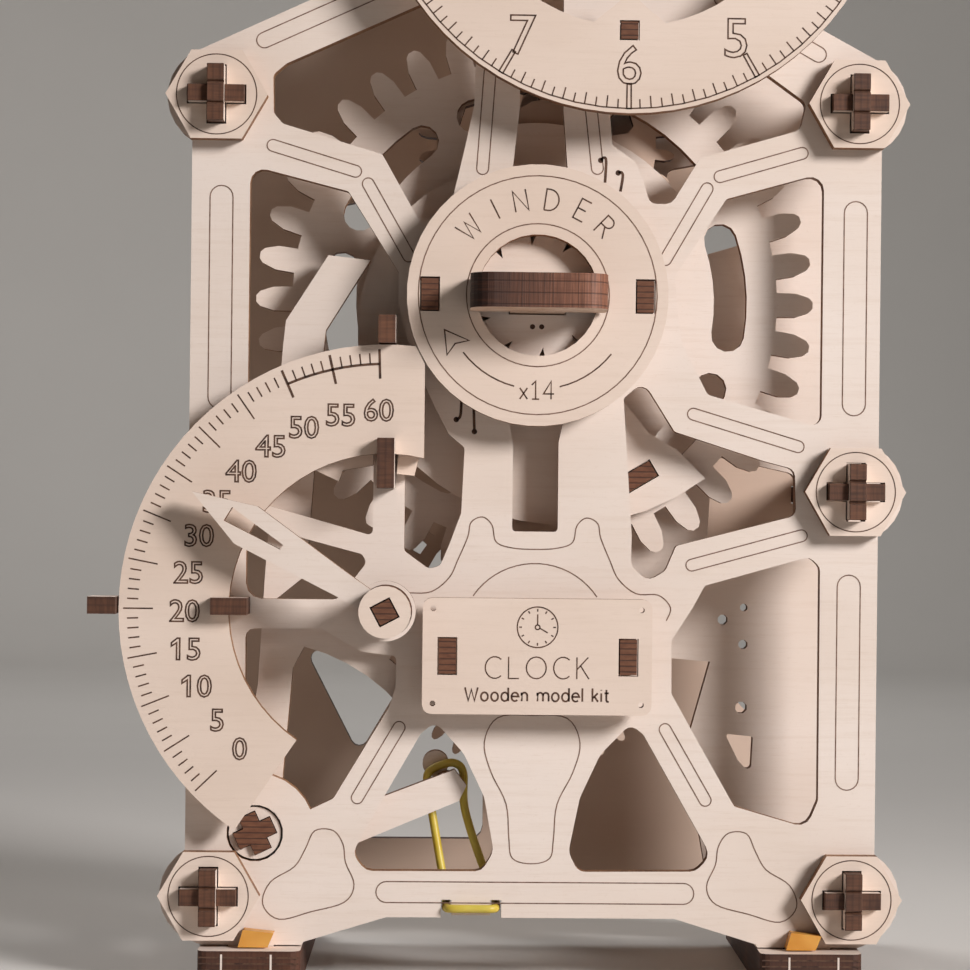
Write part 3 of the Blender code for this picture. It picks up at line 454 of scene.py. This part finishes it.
def engraved(name, paths, face, width, body="frame", ink=BURNT):
    """Burnt lines on a face. Each path is (points, closed); each becomes a ribbon."""
    vertices, faces = [], []
    for points, closed in paths:
        count = len(points)
        base = len(vertices)
        for i, point in enumerate(points):
            here = Vector(point)
            last = Vector(points[i - 1]) if closed or i else here
            after = Vector(points[(i + 1) % count]) if closed or i < count - 1 else here
            into = (here - last).normalized() if (here - last).length else Vector((0, 0))
            away = (after - here).normalized() if (after - here).length else Vector((0, 0))
            along = (into + away).normalized() if (into + away).length > 1e-6 else away
            side = Vector((-along.y, along.x))
            straight = max(0.5, abs(along.dot(away if away.length else into)))
            reach = side * (width / 2 / straight)
            for sign in (1, -1):
                x, z = here + reach * sign
                vertices.append(at(x, z, face - PROUD))
        for i in range(count if closed else count - 1):
            a, b = base + 2 * i, base + 2 * ((i + 1) % count)
            faces.append((a, a + 1, b + 1, b))
    return piece(name, vertices, faces, ink, body)


# ---------------------------------------------------------------- lettering


def oval(x, z, width, height, start, end):
    """Part of an ellipse round a point, in degrees."""
    return [(x + width * c, z + height * s) for c, s in arc((0, 0), 1.0, start, end, END_STEP)]


BOWL = oval(0.26, 0.32, 0.26, 0.32, 0, 360)
HEAD = oval(0.26, 0.75, 0.26, 0.25, 90, -90)
ARCH = [(0, 0), (0, 0.64), (0, 0.42)] + oval(0.21, 0.42, 0.21, 0.22, 180, 0) + [(0.42, 0)]
SECOND_ARCH = [(0.42, 0.42)] + oval(0.63, 0.42, 0.21, 0.22, 180, 0) + [(0.84, 0)]
# Letters drawn with single strokes, one unit high.
STROKES = {
    "W": [[(0, 1), (0.25, 0), (0.48, 0.85), (0.71, 0), (0.96, 1)]],
    "I": [[(0, 0), (0, 1)]],
    "N": [[(0, 0), (0, 1), (0.62, 0), (0.62, 1)]],
    "D": [[(0, 0), (0, 1)] + oval(0.18, 0.5, 0.46, 0.5, 90, -90) + [(0, 0)]],
    "E": [[(0.5, 0), (0, 0), (0, 1), (0.5, 1)], [(0, 0.52), (0.42, 0.52)]],
    "R": [[(0, 0), (0, 1)] + HEAD + [(0, 0.5)], [(0.26, 0.5), (0.56, 0)]],
    "C": [oval(0.44, 0.5, 0.44, 0.5, 48, 312)],
    "L": [[(0, 1), (0, 0), (0.48, 0)]],
    "O": [oval(0.46, 0.5, 0.46, 0.5, 0, 360)],
    "K": [[(0, 0), (0, 1)], [(0.52, 1), (0.02, 0.45)], [(0.17, 0.61), (0.56, 0)]],
    "x": [[(0, 0), (0.42, 0.62)], [(0, 0.62), (0.42, 0)]],
    "1": [[(0, 0.78), (0.22, 1), (0.22, 0)], [(0.02, 0), (0.42, 0)]],
    "4": [[(0.42, 0), (0.42, 1), (0, 0.3), (0.58, 0.3)]],
    "o": [BOWL],
    "d": [BOWL, [(0.52, 0), (0.52, 1)]],
    "e": [[(0.0, 0.35), (0.52, 0.35)] + oval(0.26, 0.32, 0.26, 0.32, 6, 312)],
    "n": [ARCH],
    "m": [ARCH, SECOND_ARCH],
    "l": [[(0, 0), (0, 1)]],
    "k": [[(0, 0), (0, 1)], [(0.4, 0.64), (0.02, 0.27)], [(0.14, 0.39), (0.42, 0)]],
    "i": [[(0, 0), (0, 0.64)], [(0, 0.84), (0, 0.9)]],
    "t": [[(0.14, 0.9), (0.14, 0.1), (0.2, 0.01), (0.32, 0)], [(0, 0.64), (0.32, 0.64)]],
    " ": [[(0, 0), (0.28, 0)]],
}


def strokes(text, centre, height, turn=0.0, gap=0.24):
    """Open paths of a word in single strokes round a centre."""
    paths, pen = [], 0.0
    for letter in text:
        wide = max(x for stroke in STROKES[letter] for x, _ in stroke)
        if letter != " ":
            paths += [[(x + pen, z) for x, z in stroke] for stroke in STROKES[letter]]
        pen += wide + gap
    half = (pen - gap) / 2
    c, s = math.cos(math.radians(turn)) * height, math.sin(math.radians(turn)) * height
    out = []
    for path in paths:
        moved = [(x - half, z - 0.5) for x, z in path]
        out.append(([(centre[0] + x * c - z * s, centre[1] + x * s + z * c) for x, z in moved], False))
    return out


def flagged(bar):
    """A bare upright bar turned into a figure one, with a flag at its top left."""
    left, right = min(p.x for p in bar), max(p.x for p in bar)
    low, high = min(p.y for p in bar), max(p.y for p in bar)
    w = right - left
    corners = [(left, low), (right, low), (right, high), (left + 0.2 * w, high)]
    corners += [(left - 1.7 * w, high - 1.5 * w), (left - 1.7 * w, high - 2.6 * w)]
    corners += [(left, high - 1.5 * w)]
    return [Vector(c) for c in corners]


def letter_outlines(text, centre, height, turn=0.0):
    """The outlines of a word in Blender's own typeface, as closed paths round a centre."""
    curve = bpy.data.curves.new("letters", "FONT")
    curve.body = text
    curve.fill_mode = "NONE"
    curve.resolution_u = 3
    thing = bpy.data.objects.new("letters", curve)
    mesh = bpy.data.meshes.new_from_object(thing)
    bpy.data.objects.remove(thing)
    bpy.data.curves.remove(curve)
    points = [Vector(v.co[:2]) for v in mesh.vertices]
    beside = {}
    for edge in mesh.edges:
        a, b = edge.vertices
        beside.setdefault(a, []).append(b)
        beside.setdefault(b, []).append(a)
    bpy.data.meshes.remove(mesh)
    loops, seen = [], set()
    for first in beside:
        if first in seen:
            continue
        loop, here = [], first
        while here is not None and here not in seen:
            seen.add(here)
            loop.append(points[here])
            here = next((n for n in beside[here] if n not in seen), None)
        loops.append(flagged(loop) if "1" in text and len(loop) == 4 else loop)
    low = Vector((min(p.x for p in points), min(p.y for p in points)))
    high = Vector((max(p.x for p in points), max(p.y for p in points)))
    middle, scale = (low + high) / 2, height / (high.y - low.y)
    c, s = math.cos(math.radians(turn)), math.sin(math.radians(turn))
    paths = []
    for loop in loops:
        path = []
        for p in loop:
            x, z = (p - middle) * scale
            path.append((centre[0] + x * c - z * s, centre[1] + x * s + z * c))
        paths.append((path, True))
    return paths


# ---------------------------------------------------------------- the CAD's own nodes

AMBER_NODES = {"foot_rubber_left", "foot_rubber_right", "motor_rubber"}
# These nodes get the darker painted shade of the clock's interior.
INNER_NODES_GIVEN_PAINTED_SHADE = {"back_plate", "hour_wheel", "idler_wheel", "idler_pinion", "second_wheel", "escape_wheel"}
PEG_NODES = {"cam_peg", "dial_peg_lower", "dial_peg_left", "lever_shaft", "hand_arbor"}


def material_for(name):
    """The finish of a node, by how its sheet lies and where in the clock it is; the inner parts get a
    painted shade.
    """
    if name in AMBER_NODES:
        return AMBER
    if name == "winding_handle":
        return handle_ply("handle_ply", *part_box(name))
    if name in INNER_NODES_GIVEN_PAINTED_SHADE:
        return PLY_PAINTED_SHADE
    if name == "scale_clip_left":
        low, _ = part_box(name)
        return ply(f"ply_{name}", "z", (EDGE_RED, EDGE_DARK), low[2])
    if name == "scale_clip_top":
        low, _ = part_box(name)
        return ply(f"ply_{name}", "x", (EDGE_RED, EDGE_DARK), low[0])
    if name.startswith("foot_"):
        return ply(f"ply_{name}", "z", (EDGE_BROWN, EDGE_DARK), 0.0)
    if "_peg_" in name or name in PEG_NODES:
        return PLY_PEG
    if name in ("main_wheel", "rack_lever"):
        return PLY_TURNED
    if "cap" in name or name in ("minute_scale", "hour_dial", "winding_plate", "nameplate"):
        return PLY_WARM
    return PLY_FACING


def dress_nodes():
    """Finishes on the CAD's nodes, with a scorched chamfer along every cut edge."""
    for name, node in frame["nodes"].items():
        node.data.materials.clear()
        node.data.materials.append(material_for(name))
        if name in AMBER_NODES:
            continue
        node.data.materials.append(BURNT)
        scorched_rim(node, 1)


# ---------------------------------------------------------------- posts and rubber

PLANK = 12.3
PLANK_STEP = 1.5
PLANK_GAP = 0.02
NOTCH_AT, NOTCH_WIDE, NOTCH_DEEP = 2.3, 0.35, 0.7


def prism(profile, low, high, place):
    """The vertices and faces of a profile between two heights; place(u, v, h) puts a point."""
    count = len(profile)
    vertices = [place(u, v, low) for u, v in profile] + [place(u, v, high) for u, v in profile]
    faces = [tuple(range(count))[::-1], tuple(range(count, 2 * count))]
    faces += [(i, (i + 1) % count, count + (i + 1) % count, count + i) for i in range(count)]
    return vertices, faces


def standing_plank(centre, front, back):
    """The plank on edge, with two small notches in its front end."""
    half = PLANK / 2
    end = [(front, -half)]
    for z in (-NOTCH_AT, NOTCH_AT):
        end += [(front, z - NOTCH_WIDE), (front + NOTCH_DEEP, z), (front, z + NOTCH_WIDE)]
    profile = end + [(front, half), (back, half), (back, -half)]
    x, z = centre
    return prism(profile, -PLY / 2, PLY / 2, lambda y, up, h: at(x + h, z + up, y))


def lying_half(centre, front, back, side):
    """One side of the plank that lies flat, set back from the other plank's ends."""
    a, b = sorted((side * (PLY / 2 + PLANK_GAP), side * PLANK / 2))
    profile = [(front, a), (front, b), (back, b), (back, a)]
    x, z = centre
    return prism(profile, -PLY / 2, PLY / 2, lambda y, out, h: at(x + out, z + h, y))


def posts():
    """Each post as it is made: two planks halved into each other, one end standing out."""
    standing = ply("plank_standing", "x", (EDGE_RED, EDGE_DARK), MIDDLE_X)
    lying = ply("plank_lying", "z", (EDGE_RED, EDGE_DARK), 0.0)
    for name in [n for n in frame["nodes"] if n.startswith("post_")]:
        low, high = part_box(name)
        centre = middle_of(low, high)
        front, back = depth_of(low, high)
        vertices, faces, kinds = [], [], []
        solids = [standing_plank(centre, front, back)]
        solids += [lying_half(centre, front + PLANK_STEP, back - PLANK_STEP, k) for k in (-1, 1)]
        for kind, (points, sides) in enumerate(solids):
            faces += [tuple(len(vertices) + i for i in side) for side in sides]
            kinds += [min(kind, 1)] * len(sides)
            vertices += points
        made = piece(f"{name}_planks", vertices, faces, standing, "frame")
        made.data.materials.append(lying)
        made.data.materials.append(BURNT)
        made.data.polygons.foreach_set("material_index", kinds)
        scorched_rim(made, 2)
        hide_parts(name)


TENON_ENDS = (56.25, 66.95)
TENON_WIDTH = 0.42
TENON_LOW, TENON_HIGH = 0.3, 7.3
FOOT_SEAMS = (1.0, 2.4, 3.9, 5.3, 6.6)
SEAM_INSET, SEAM_WIDTH = 0.3, 0.34


def foot_fronts():
    """The pale ends of two tenons and the glue lines on each foot's front."""
    for side, sign in (("left", -1), ("right", 1)):
        low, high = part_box(f"foot_{side}")
        left, right = across_of(low, high)
        face, _ = depth_of(low, high)
        seams = [([(left + SEAM_INSET, z), (right - SEAM_INSET, z)], False) for z in FOOT_SEAMS]
        engraved(f"foot_{side}_seams", seams, face, SEAM_WIDTH)
        tenons = [([(sign * x, TENON_LOW), (sign * x, TENON_HIGH)], False) for x in TENON_ENDS]
        ends = engraved(f"foot_{side}_tenons", tenons, face - 2 * PROUD, TENON_WIDTH, ink=PLY_FACING)


PAD_RIM = 0.4


def foot_pads():
    """The amber pads that are wedged above the feet, a little askew."""
    for name in ("foot_rubber_left", "foot_rubber_right"):
        low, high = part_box(name)
        left, right = across_of(low, high)
        front, back = depth_of(low, high)
        bottom, top = low[2] / MM, high[2] / MM
        skewed = [(left, bottom), (right - 1.3, bottom), (right, top - 0.7), (left + 1.1, top)]
        pad = flat_piece(f"{name}_pad", [skewed], (0, 0), front, back, AMBER, "frame")
        rim = pad.modifiers["scorched_rim"]
        rim.width = PAD_RIM * MM
        rim.segments = 3
        rim.material = 0
        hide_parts(name)


TUBE_SIDES = 10


def tube(name, route, section, material, body):
    """A closed tube along (x, z, y) points; section gives its half width and half thickness."""
    count, sides = len(route), TUBE_SIDES
    points = [at(*p) for p in route]
    vertices = []
    for i, here in enumerate(points):
        along = (points[(i + 1) % count] - points[i - 1]).normalized()
        across = along.cross(Vector((0, 1, 0)))
        across = across.normalized() if across.length > 0.2 else Vector((1, 0, 0))
        other = along.cross(across).normalized()
        for k in range(sides):
            a = 2 * math.pi * k / sides
            out = across * math.cos(a) * section[1] + other * math.sin(a) * section[0]
            vertices.append(here + out * MM)
    faces = []
    for i in range(count):
        for k in range(sides):
            a, b = i * sides, ((i + 1) % count) * sides
            faces.append((a + k, a + (k + 1) % sides, b + (k + 1) % sides, b + k))
    made = piece(name, vertices, faces, material, body)
    made.data.shade_smooth()
    return made


SHAFT_TURN = 25.0
SHAFT_ARM, SHAFT_HALF = 4.5, 2.05
LEVER_WASHER_RADIUS = 5.7
HAND_WASHER_RADII = (6.5, 5.75)
BAND_PEG, BAND_PEG_RADIUS = (-21.2, 47.3), 2.9


def washers():
    """The washers round the lever's shaft and the hand's arbor, and the band's round peg."""
    notch = [(SHAFT_HALF, -SHAFT_HALF), (SHAFT_ARM, -SHAFT_HALF), (SHAFT_ARM, SHAFT_HALF)]
    cross = []
    for quarter in range(4):
        for x, z in notch:
            turned = math.degrees(math.atan2(z, x)) + 90 * quarter + SHAFT_TURN
            cross.append(polar((0, 0), math.hypot(x, z), turned))
    loops = [ring((0, 0), LEVER_WASHER_RADIUS), cross]
    flat_piece("lever_washer", loops, LEVER, 0.6, 3.0, PLY_FACING, "lever")
    loops = [ring((0, 0), radius) for radius in HAND_WASHER_RADII]
    flat_piece("hand_washer", loops, HAND, -11.9, -9.4, PLY_FACING, "hand")
    loops = [ring((0, 0), BAND_PEG_RADIUS, 12)]
    flat_piece("band_peg_end", loops, BAND_PEG, 11.4, 15.5, PLY_FACING, "lever")


def scale_spacer():
    """The packing behind the scale's upper end, on both sides of its clip."""
    left = [(-48.2, 119.0), (-48.4, 112.4), (-42.8, 109.8), (-42.0, 112.2)]
    left += [(-35.4, 113.4), (-35.4, 119.0)]
    right = [(-29.8, 119.0), (-30.2, 111.6), (-26.4, 111.2), (-24.9, 117.2), (-25.2, 119.0)]
    for name, outline in (("left", left), ("right", right)):
        flat_piece(f"scale_spacer_{name}", [outline], (0, 0), -3.9, -0.4, PLY_WARM, "frame")


BAND_HALF_WIDTH, BAND_HALF_THICKNESS = 0.95, 0.92


def return_band():
    """The rubber band that pulls the lever down, hooked on its peg and on the tab below."""
    route = [(-23.0, 43.0, 9.6), (-22.6, 45.6, 9.4), (-19.9, 47.2, 9.2), (-16.9, 47.6, 9.4)]
    route += [(-15.0, 45.4, 9.6), (-14.6, 37.6, 8.6), (-10.8, 26.0, 6.2), (-7.9, 19.8, 5.1)]
    route += [(-7.6, 17.2, 4.0), (-7.6, 16.6, 1.0), (-8.6, 16.6, -1.2), (-13.0, 16.6, -1.3)]
    route += [(-17.5, 16.6, -1.2), (-18.5, 16.6, 1.0), (-18.5, 17.2, 4.0), (-18.6, 19.8, 5.1)]
    route += [(-19.9, 26.0, 6.2), (-22.0, 37.6, 8.6)]
    section = (BAND_HALF_WIDTH, BAND_HALF_THICKNESS)
    band = tube("yellow_band", smooth(route, True, 6), section, YELLOW, None)
    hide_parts("return_band")
    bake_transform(band)


# ---------------------------------------------------------------- engraving

# The line widths, from the cap's fine rings to the dark cuts.
CAP_LINE = 0.24
OUTLINE = 0.26
EMBLEM_LINE = 0.28
HOUR_TICK = 0.3
TICK_LINE = 0.32
HOUR_NUMERAL = 0.34
MINUTE_NUMERAL = 0.36
WORD_LINE = 0.4
BOLD_TICK = 0.55
DOT_LINE = 0.56
RELIEF_CUT = 0.6

# The rounded outlines along the front plate's bars: the centres of both ends and the width.
PAIRED_SLOTS = [
    ((40.0, 177.8), (58.1, 183.2), 2.6),
    ((37.2, 175.1), (28.2, 159.4), 2.6),
    ((38.2, 40.6), (29.2, 56.1), 2.6),
]
SINGLE_SLOTS = [
    ((34.7, 125.5), (57.9, 118.6), 2.6),
    ((34.7, 92.3), (58.8, 99.0), 2.6),
    ((10.6, 200.0), (13.0, 179.2), 2.6),
    ((-10.8, 200.0), (-12.2, 178.8), 2.6),
]
WIDE_SLOTS = [
    ((-60.2, 206.2), (-14.0, 227.6), 3.4),
    ((61.5, 205.0), (40.0, 217.0), 3.4),
    ((70.1, 128.1), (70.1, 170.2), 5.1),
    ((-69.2, 128.0), (-69.2, 171.8), 5.0),
    ((69.4, 45.6), (69.4, 87.9), 5.1),
    ((-69.4, 45.6), (-69.4, 70.0), 5.1),
    ((-31.6, 20.0), (33.6, 20.0), 4.6),
]


def front_plate_engraving():
    """The outlines on the plate: slots, a bulb, corners, a crown over the snail, relief cuts."""
    closed = [stadium(*slot) for slot in PAIRED_SLOTS + SINGLE_SLOTS]
    closed += [mirrored(stadium(*slot)) for slot in PAIRED_SLOTS]
    closed += [stadium(*slot) for slot in WIDE_SLOTS]
    half_bulb = [(7.6, 58.4), (10.5, 53.0), (9.0, 46.5), (5.6, 39.5), (4.9, 32.0), (4.1, 27.6)]
    closed.append(smooth([(0, 59.0)] + half_bulb + [(0, 26.4)] + mirrored(half_bulb)[::-1], True))
    corner = [(47.4, 33.3), (43.4, 33.4), (41.2, 30.4), (40.6, 26.4), (38.7, 21.6), (40.8, 17.7)]
    corner += [(48.0, 15.6), (55.0, 13.9), (58.6, 17.2), (57.0, 22.0), (51.8, 25.4), (49.4, 29.4)]
    closed += [smooth(corner, True), smooth(mirrored(corner), True)]
    right = [(5.0, 95.7), (8.4, 97.0), (9.3, 100.6), (11.4, 102.4), (13.9, 101.2), (14.6, 98.0)]
    right += [(16.7, 93.0), (18.6, 89.0), (22.5, 85.9), (27.4, 85.6), (30.1, 82.9), (29.2, 80.0)]
    left_to_hand = mirrored(right[:-2])[::-1]
    crown = smooth(left_to_hand + [(0, 95.4)] + right, False)
    paths = [(points, True) for points in closed] + [(crown, False)]
    paths.append((arc((0.3, 75.9), 16.4, 146, 34), False))
    reliefs = [[(14.7, 176.1), (14.9, 180.8), (14.4, 181.6), (13.7, 181.0)]]
    reliefs += [[(18.1, 174.2), (18.6, 177.4), (18.3, 178.4), (17.6, 178.3)]]
    reliefs += [[(-16.3, 128.7), (-16.5, 124.6), (-17.4, 123.7)], [(-13.6, 126.3), (-13.4, 121.1)]]
    cuts = [(smooth(points, False), False) for points in reliefs]
    cuts += [(ring(points[-1], RELIEF_CUT / 2), True) for points in reliefs]
    engraved("front_plate_relief_cuts", cuts, 0.0, RELIEF_CUT)
    engraved("front_plate_engraving", paths, 0.0, OUTLINE, ink=FAINT)


CAP_RING_RADIUS = 8.7


def cap_rings():
    """The fine ring on each hexagonal cap, on its outer face."""
    for name in frame["nodes"]:
        if not name.startswith(("front_cap_", "back_cap_")):
            continue
        low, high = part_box(name)
        front, back = depth_of(low, high)
        face = front if name.startswith("front") else back + 2 * PROUD
        circle = ring(middle_of(low, high), CAP_RING_RADIUS)
        engraved(f"{name}_ring", [(circle, True)], face, CAP_LINE)


DIAL_TICKS = 144
DIAL_TICK_INNER = (52.8, 53.4)
DIAL_RIM = 55.4
HOUR_BAR_INNER, HOUR_BAR_HALF = 50.0, math.degrees(0.45 / 52)
HOUR_NUMERAL_RADIUS, HOUR_NUMERAL_HEIGHT = 46.0, 8.4


def hour_dial_engraving():
    """The hour dial's rim, ticks, bars and numerals."""
    paths = [(ring(HOUR, DIAL_RIM), True)]
    for tick in range(DIAL_TICKS):
        inner = DIAL_TICK_INNER[tick % 2]
        if tick % 12:
            a = 90 - 360 * tick / DIAL_TICKS
            paths.append(([polar(HOUR, inner, a), polar(HOUR, DIAL_RIM, a)], False))
    engraved("hour_dial_ticks", paths, DIAL_FACE, HOUR_TICK)
    marks = []
    for hour in range(1, 13):
        a = 90 - 30 * hour
        before, after = a - HOUR_BAR_HALF, a + HOUR_BAR_HALF
        bar = [polar(HOUR, HOUR_BAR_INNER, before), polar(HOUR, DIAL_RIM, before)]
        bar += [polar(HOUR, DIAL_RIM, after), polar(HOUR, HOUR_BAR_INNER, after)]
        marks.append((bar, True))
        marks += letter_outlines(str(hour), polar(HOUR, HOUR_NUMERAL_RADIUS, a), HOUR_NUMERAL_HEIGHT)
    engraved("hour_dial_numerals", marks, DIAL_FACE, HOUR_NUMERAL)


SCALE_ZERO, SCALE_PER_MINUTE = 224.0, 2.2
SHORT_TICK, LONG_TICK = (53.4, 55.8), (50.2, 56.6)
MINUTE_NUMERAL_RADIUS, MINUTE_NUMERAL_HEIGHT = 43.4, 4.7
NUMERAL_SHIFT = 0.6
BOLD_FROM = 50


def minute_scale_engraving():
    """The minute scale's ticks and numerals, its last ten minutes in bold."""
    paths, marks, bold = [], [], []
    for minute in range(61):
        a = SCALE_ZERO - SCALE_PER_MINUTE * minute
        numbered = minute % 5 == 0
        inner, outer = LONG_TICK if numbered else SHORT_TICK
        tick = ([polar(HAND, inner, a), polar(HAND, outer, a)], False)
        (bold if numbered and minute >= BOLD_FROM else paths).append(tick)
        if numbered and minute:
            place = polar(HAND, MINUTE_NUMERAL_RADIUS, a + NUMERAL_SHIFT)
            marks += letter_outlines(str(minute), place, MINUTE_NUMERAL_HEIGHT)
    zero = polar(HAND, MINUTE_NUMERAL_RADIUS, SCALE_ZERO)
    marks += letter_outlines("0", zero, MINUTE_NUMERAL_HEIGHT)
    end = SCALE_ZERO - SCALE_PER_MINUTE * 60
    bold_start = SCALE_ZERO - SCALE_PER_MINUTE * BOLD_FROM
    bold.append((arc(HAND, SHORT_TICK[0], end, bold_start, 3), False))
    engraved("minute_scale_ticks", paths, SCALE_FACE, TICK_LINE)
    engraved("minute_scale_bold_ticks", bold, SCALE_FACE, BOLD_TICK)
    engraved("minute_scale_numerals", marks, SCALE_FACE, MINUTE_NUMERAL)


def winding_plate_engraving():
    """The round plate's circles, word, turns and arrow, and the ratchet's two dots."""
    circles = [(ring(KEY, 25.9), True), (ring(KEY, 15.5), True)]
    paths = [(arc(KEY, 20.4, 218, 256), False), (arc(KEY, 20.4, 284, 322), False)]
    for letter, a in zip("WINDER", (136, 117, 101, 82, 63, 46)):
        paths += strokes(letter, polar(KEY, 20.8, a), 4.6, a - 90)
    paths += strokes("x14", polar(KEY, 20.6, 270), 3.9)
    head = [polar(KEY, 17.9, 214), polar(KEY, 21.6, 201), polar(KEY, 23.6, 214)]
    paths.append((head + [polar(KEY, 20.8, 211)], True))
    engraved("winding_plate_circles", circles, SCALE_FACE, OUTLINE, ink=FAINT)
    engraved("winding_plate_engraving", paths, SCALE_FACE, TICK_LINE)
    x, z = KEY
    dots = [(ring((x + side, z - 6.6), DOT_LINE / 2), True) for side in (-1, 1)]
    engraved("ratchet_dots", dots, RATCHET_FACE, DOT_LINE, "key")


def nameplate_engraving():
    """A small clock face over the words of a clock kit."""
    low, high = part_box("nameplate")
    x, z = middle_of(low, high)
    face = (x, z + 6.4)
    paths = [(ring(face, 4.4), True), (ring(face, 0.5), True)]
    for i in range(12):
        a = 30 * i
        paths.append(([polar(face, 3.4, a), polar(face, 4.0, a)], False))
    paths.append(([(x, z + 6.9), (x, z + 9.2)], False))
    paths.append(([(x + 0.5, z + 6.2), (x + 2.2, z + 5.2)], False))
    paths += strokes("CLOCK", (x, z - 2.4), 4.7, gap=0.34)
    line = strokes("Wooden model kit", (x, z - 8.2), 2.9)
    engraved("nameplate_engraving", paths, SCALE_FACE, EMBLEM_LINE)
    engraved("nameplate_line", line, SCALE_FACE, WORD_LINE)


# ---------------------------------------------------------------- stage

EYE = (-18.0, 101.5, -655.0)
YAW, ROLL = 2.02, 0.61
LENS, SHIFT = 110.8, (-0.075, 0.038)


def camera():
    """A level camera, low and a little to the left, about two thirds of a metre away."""
    made = bpy.data.objects.new("camera", bpy.data.cameras.new("camera"))
    bpy.context.scene.collection.objects.link(made)
    turn = Matrix.Rotation(math.radians(-YAW), 4, "Z") @ Matrix.Rotation(math.radians(90), 4, "X")
    roll = Matrix.Rotation(math.radians(ROLL), 4, "Z")
    made.matrix_world = Matrix.Translation(at(*EYE)) @ turn @ roll
    made.data.sensor_width = 36.0
    made.data.lens = LENS
    made.data.shift_x, made.data.shift_y = SHIFT
    made.data.clip_start = 0.01
    bpy.context.scene.camera = made


NARROW, WIDE = 70, 120


def area_light(name, place, target, size, power, colour, spread=NARROW):
    """A round light that faces a point."""
    light = bpy.data.lights.new(name, "AREA")
    light.shape = "DISK"
    light.size = size
    light.energy = power
    light.color = colour
    light.spread = math.radians(spread)
    made = bpy.data.objects.new(name, light)
    made.location = place
    made.rotation_euler = (target - made.location).to_track_quat("-Z", "Y").to_euler()
    bpy.context.scene.collection.objects.link(made)


FLOOR_R, FLOOR_CURVE, FLOOR_WALL, FLOOR_SIDES = 1.4, 0.5, 1.7, 64


def bowl():
    """A round floor that curves up into a wall all round, far from the clock."""
    profile = [(0.35 * FLOOR_R, 0.0), (0.7 * FLOOR_R, 0.0)]
    for i in range(10):
        a = math.radians(10 * i)
        profile.append((FLOOR_R + FLOOR_CURVE * math.sin(a), FLOOR_CURVE * (1 - math.cos(a))))
    profile.append((FLOOR_R + FLOOR_CURVE, FLOOR_WALL))
    vertices, faces = [], [tuple(range(FLOOR_SIDES))]
    for radius, z in profile:
        for k in range(FLOOR_SIDES):
            a = 2 * math.pi * k / FLOOR_SIDES
            vertices.append((radius * math.cos(a), radius * math.sin(a), z))
    for i in range(len(profile) - 1):
        for k in range(FLOOR_SIDES):
            a, b = i * FLOOR_SIDES + k, i * FLOOR_SIDES + (k + 1) % FLOOR_SIDES
            faces.append((a, a + FLOOR_SIDES, b + FLOOR_SIDES, b))
    mesh = bpy.data.meshes.new("floor")
    mesh.from_pydata(vertices, [], faces)
    mesh.shade_smooth()
    return mesh


WALL_WHITE = (1.0, 0.99, 0.98)
SKY_COLOUR, SKY_STRENGTH = (0.93, 0.92, 0.91, 1), 0.02


def studio():
    """A pale floor, a soft key from the upper right, a weak light behind, and a light on each wall."""
    clock = at(0, 130, 30)
    back_wall, front_wall = at(0, 150, 1700), at(0, 150, -1700)
    area_light("key_light", at(1130, 740, -990), clock, 0.5, 4.7, (1.0, 0.98, 0.98))
    area_light("rear_light", at(-420, 760, 470), clock, 0.5, 0.6, (1.0, 0.97, 0.95))
    area_light("backdrop_light", at(0, 1050, 420), back_wall, 0.6, 3.2, WALL_WHITE, WIDE)
    area_light("front_wall_light", at(0, 1150, -250), front_wall, 0.6, 0.45, WALL_WHITE, WIDE)
    bpy.context.scene.view_settings.view_transform = "Standard"
    world = bpy.data.worlds.new("studio")
    world.use_nodes = True
    background = world.node_tree.nodes["Background"]
    background.inputs["Color"].default_value = SKY_COLOUR
    background.inputs["Strength"].default_value = SKY_STRENGTH
    bpy.context.scene.world = world
    mesh = bowl()
    g = Graph("floor_paper")
    soft = g.noise(g.stretched((6, 6, 6)), 1.0, 2.0)
    mesh.materials.append(g.finish(g.mix(soft, *FLOOR_TONE), 0.85))
    floor = bpy.data.objects.new("floor", mesh)
    bpy.context.scene.collection.objects.link(floor)


camera()
studio()
dress_nodes()
posts()
foot_fronts()
foot_pads()
washers()
scale_spacer()
return_band()
front_plate_engraving()
cap_rings()
hour_dial_engraving()
minute_scale_engraving()
winding_plate_engraving()
nameplate_engraving()
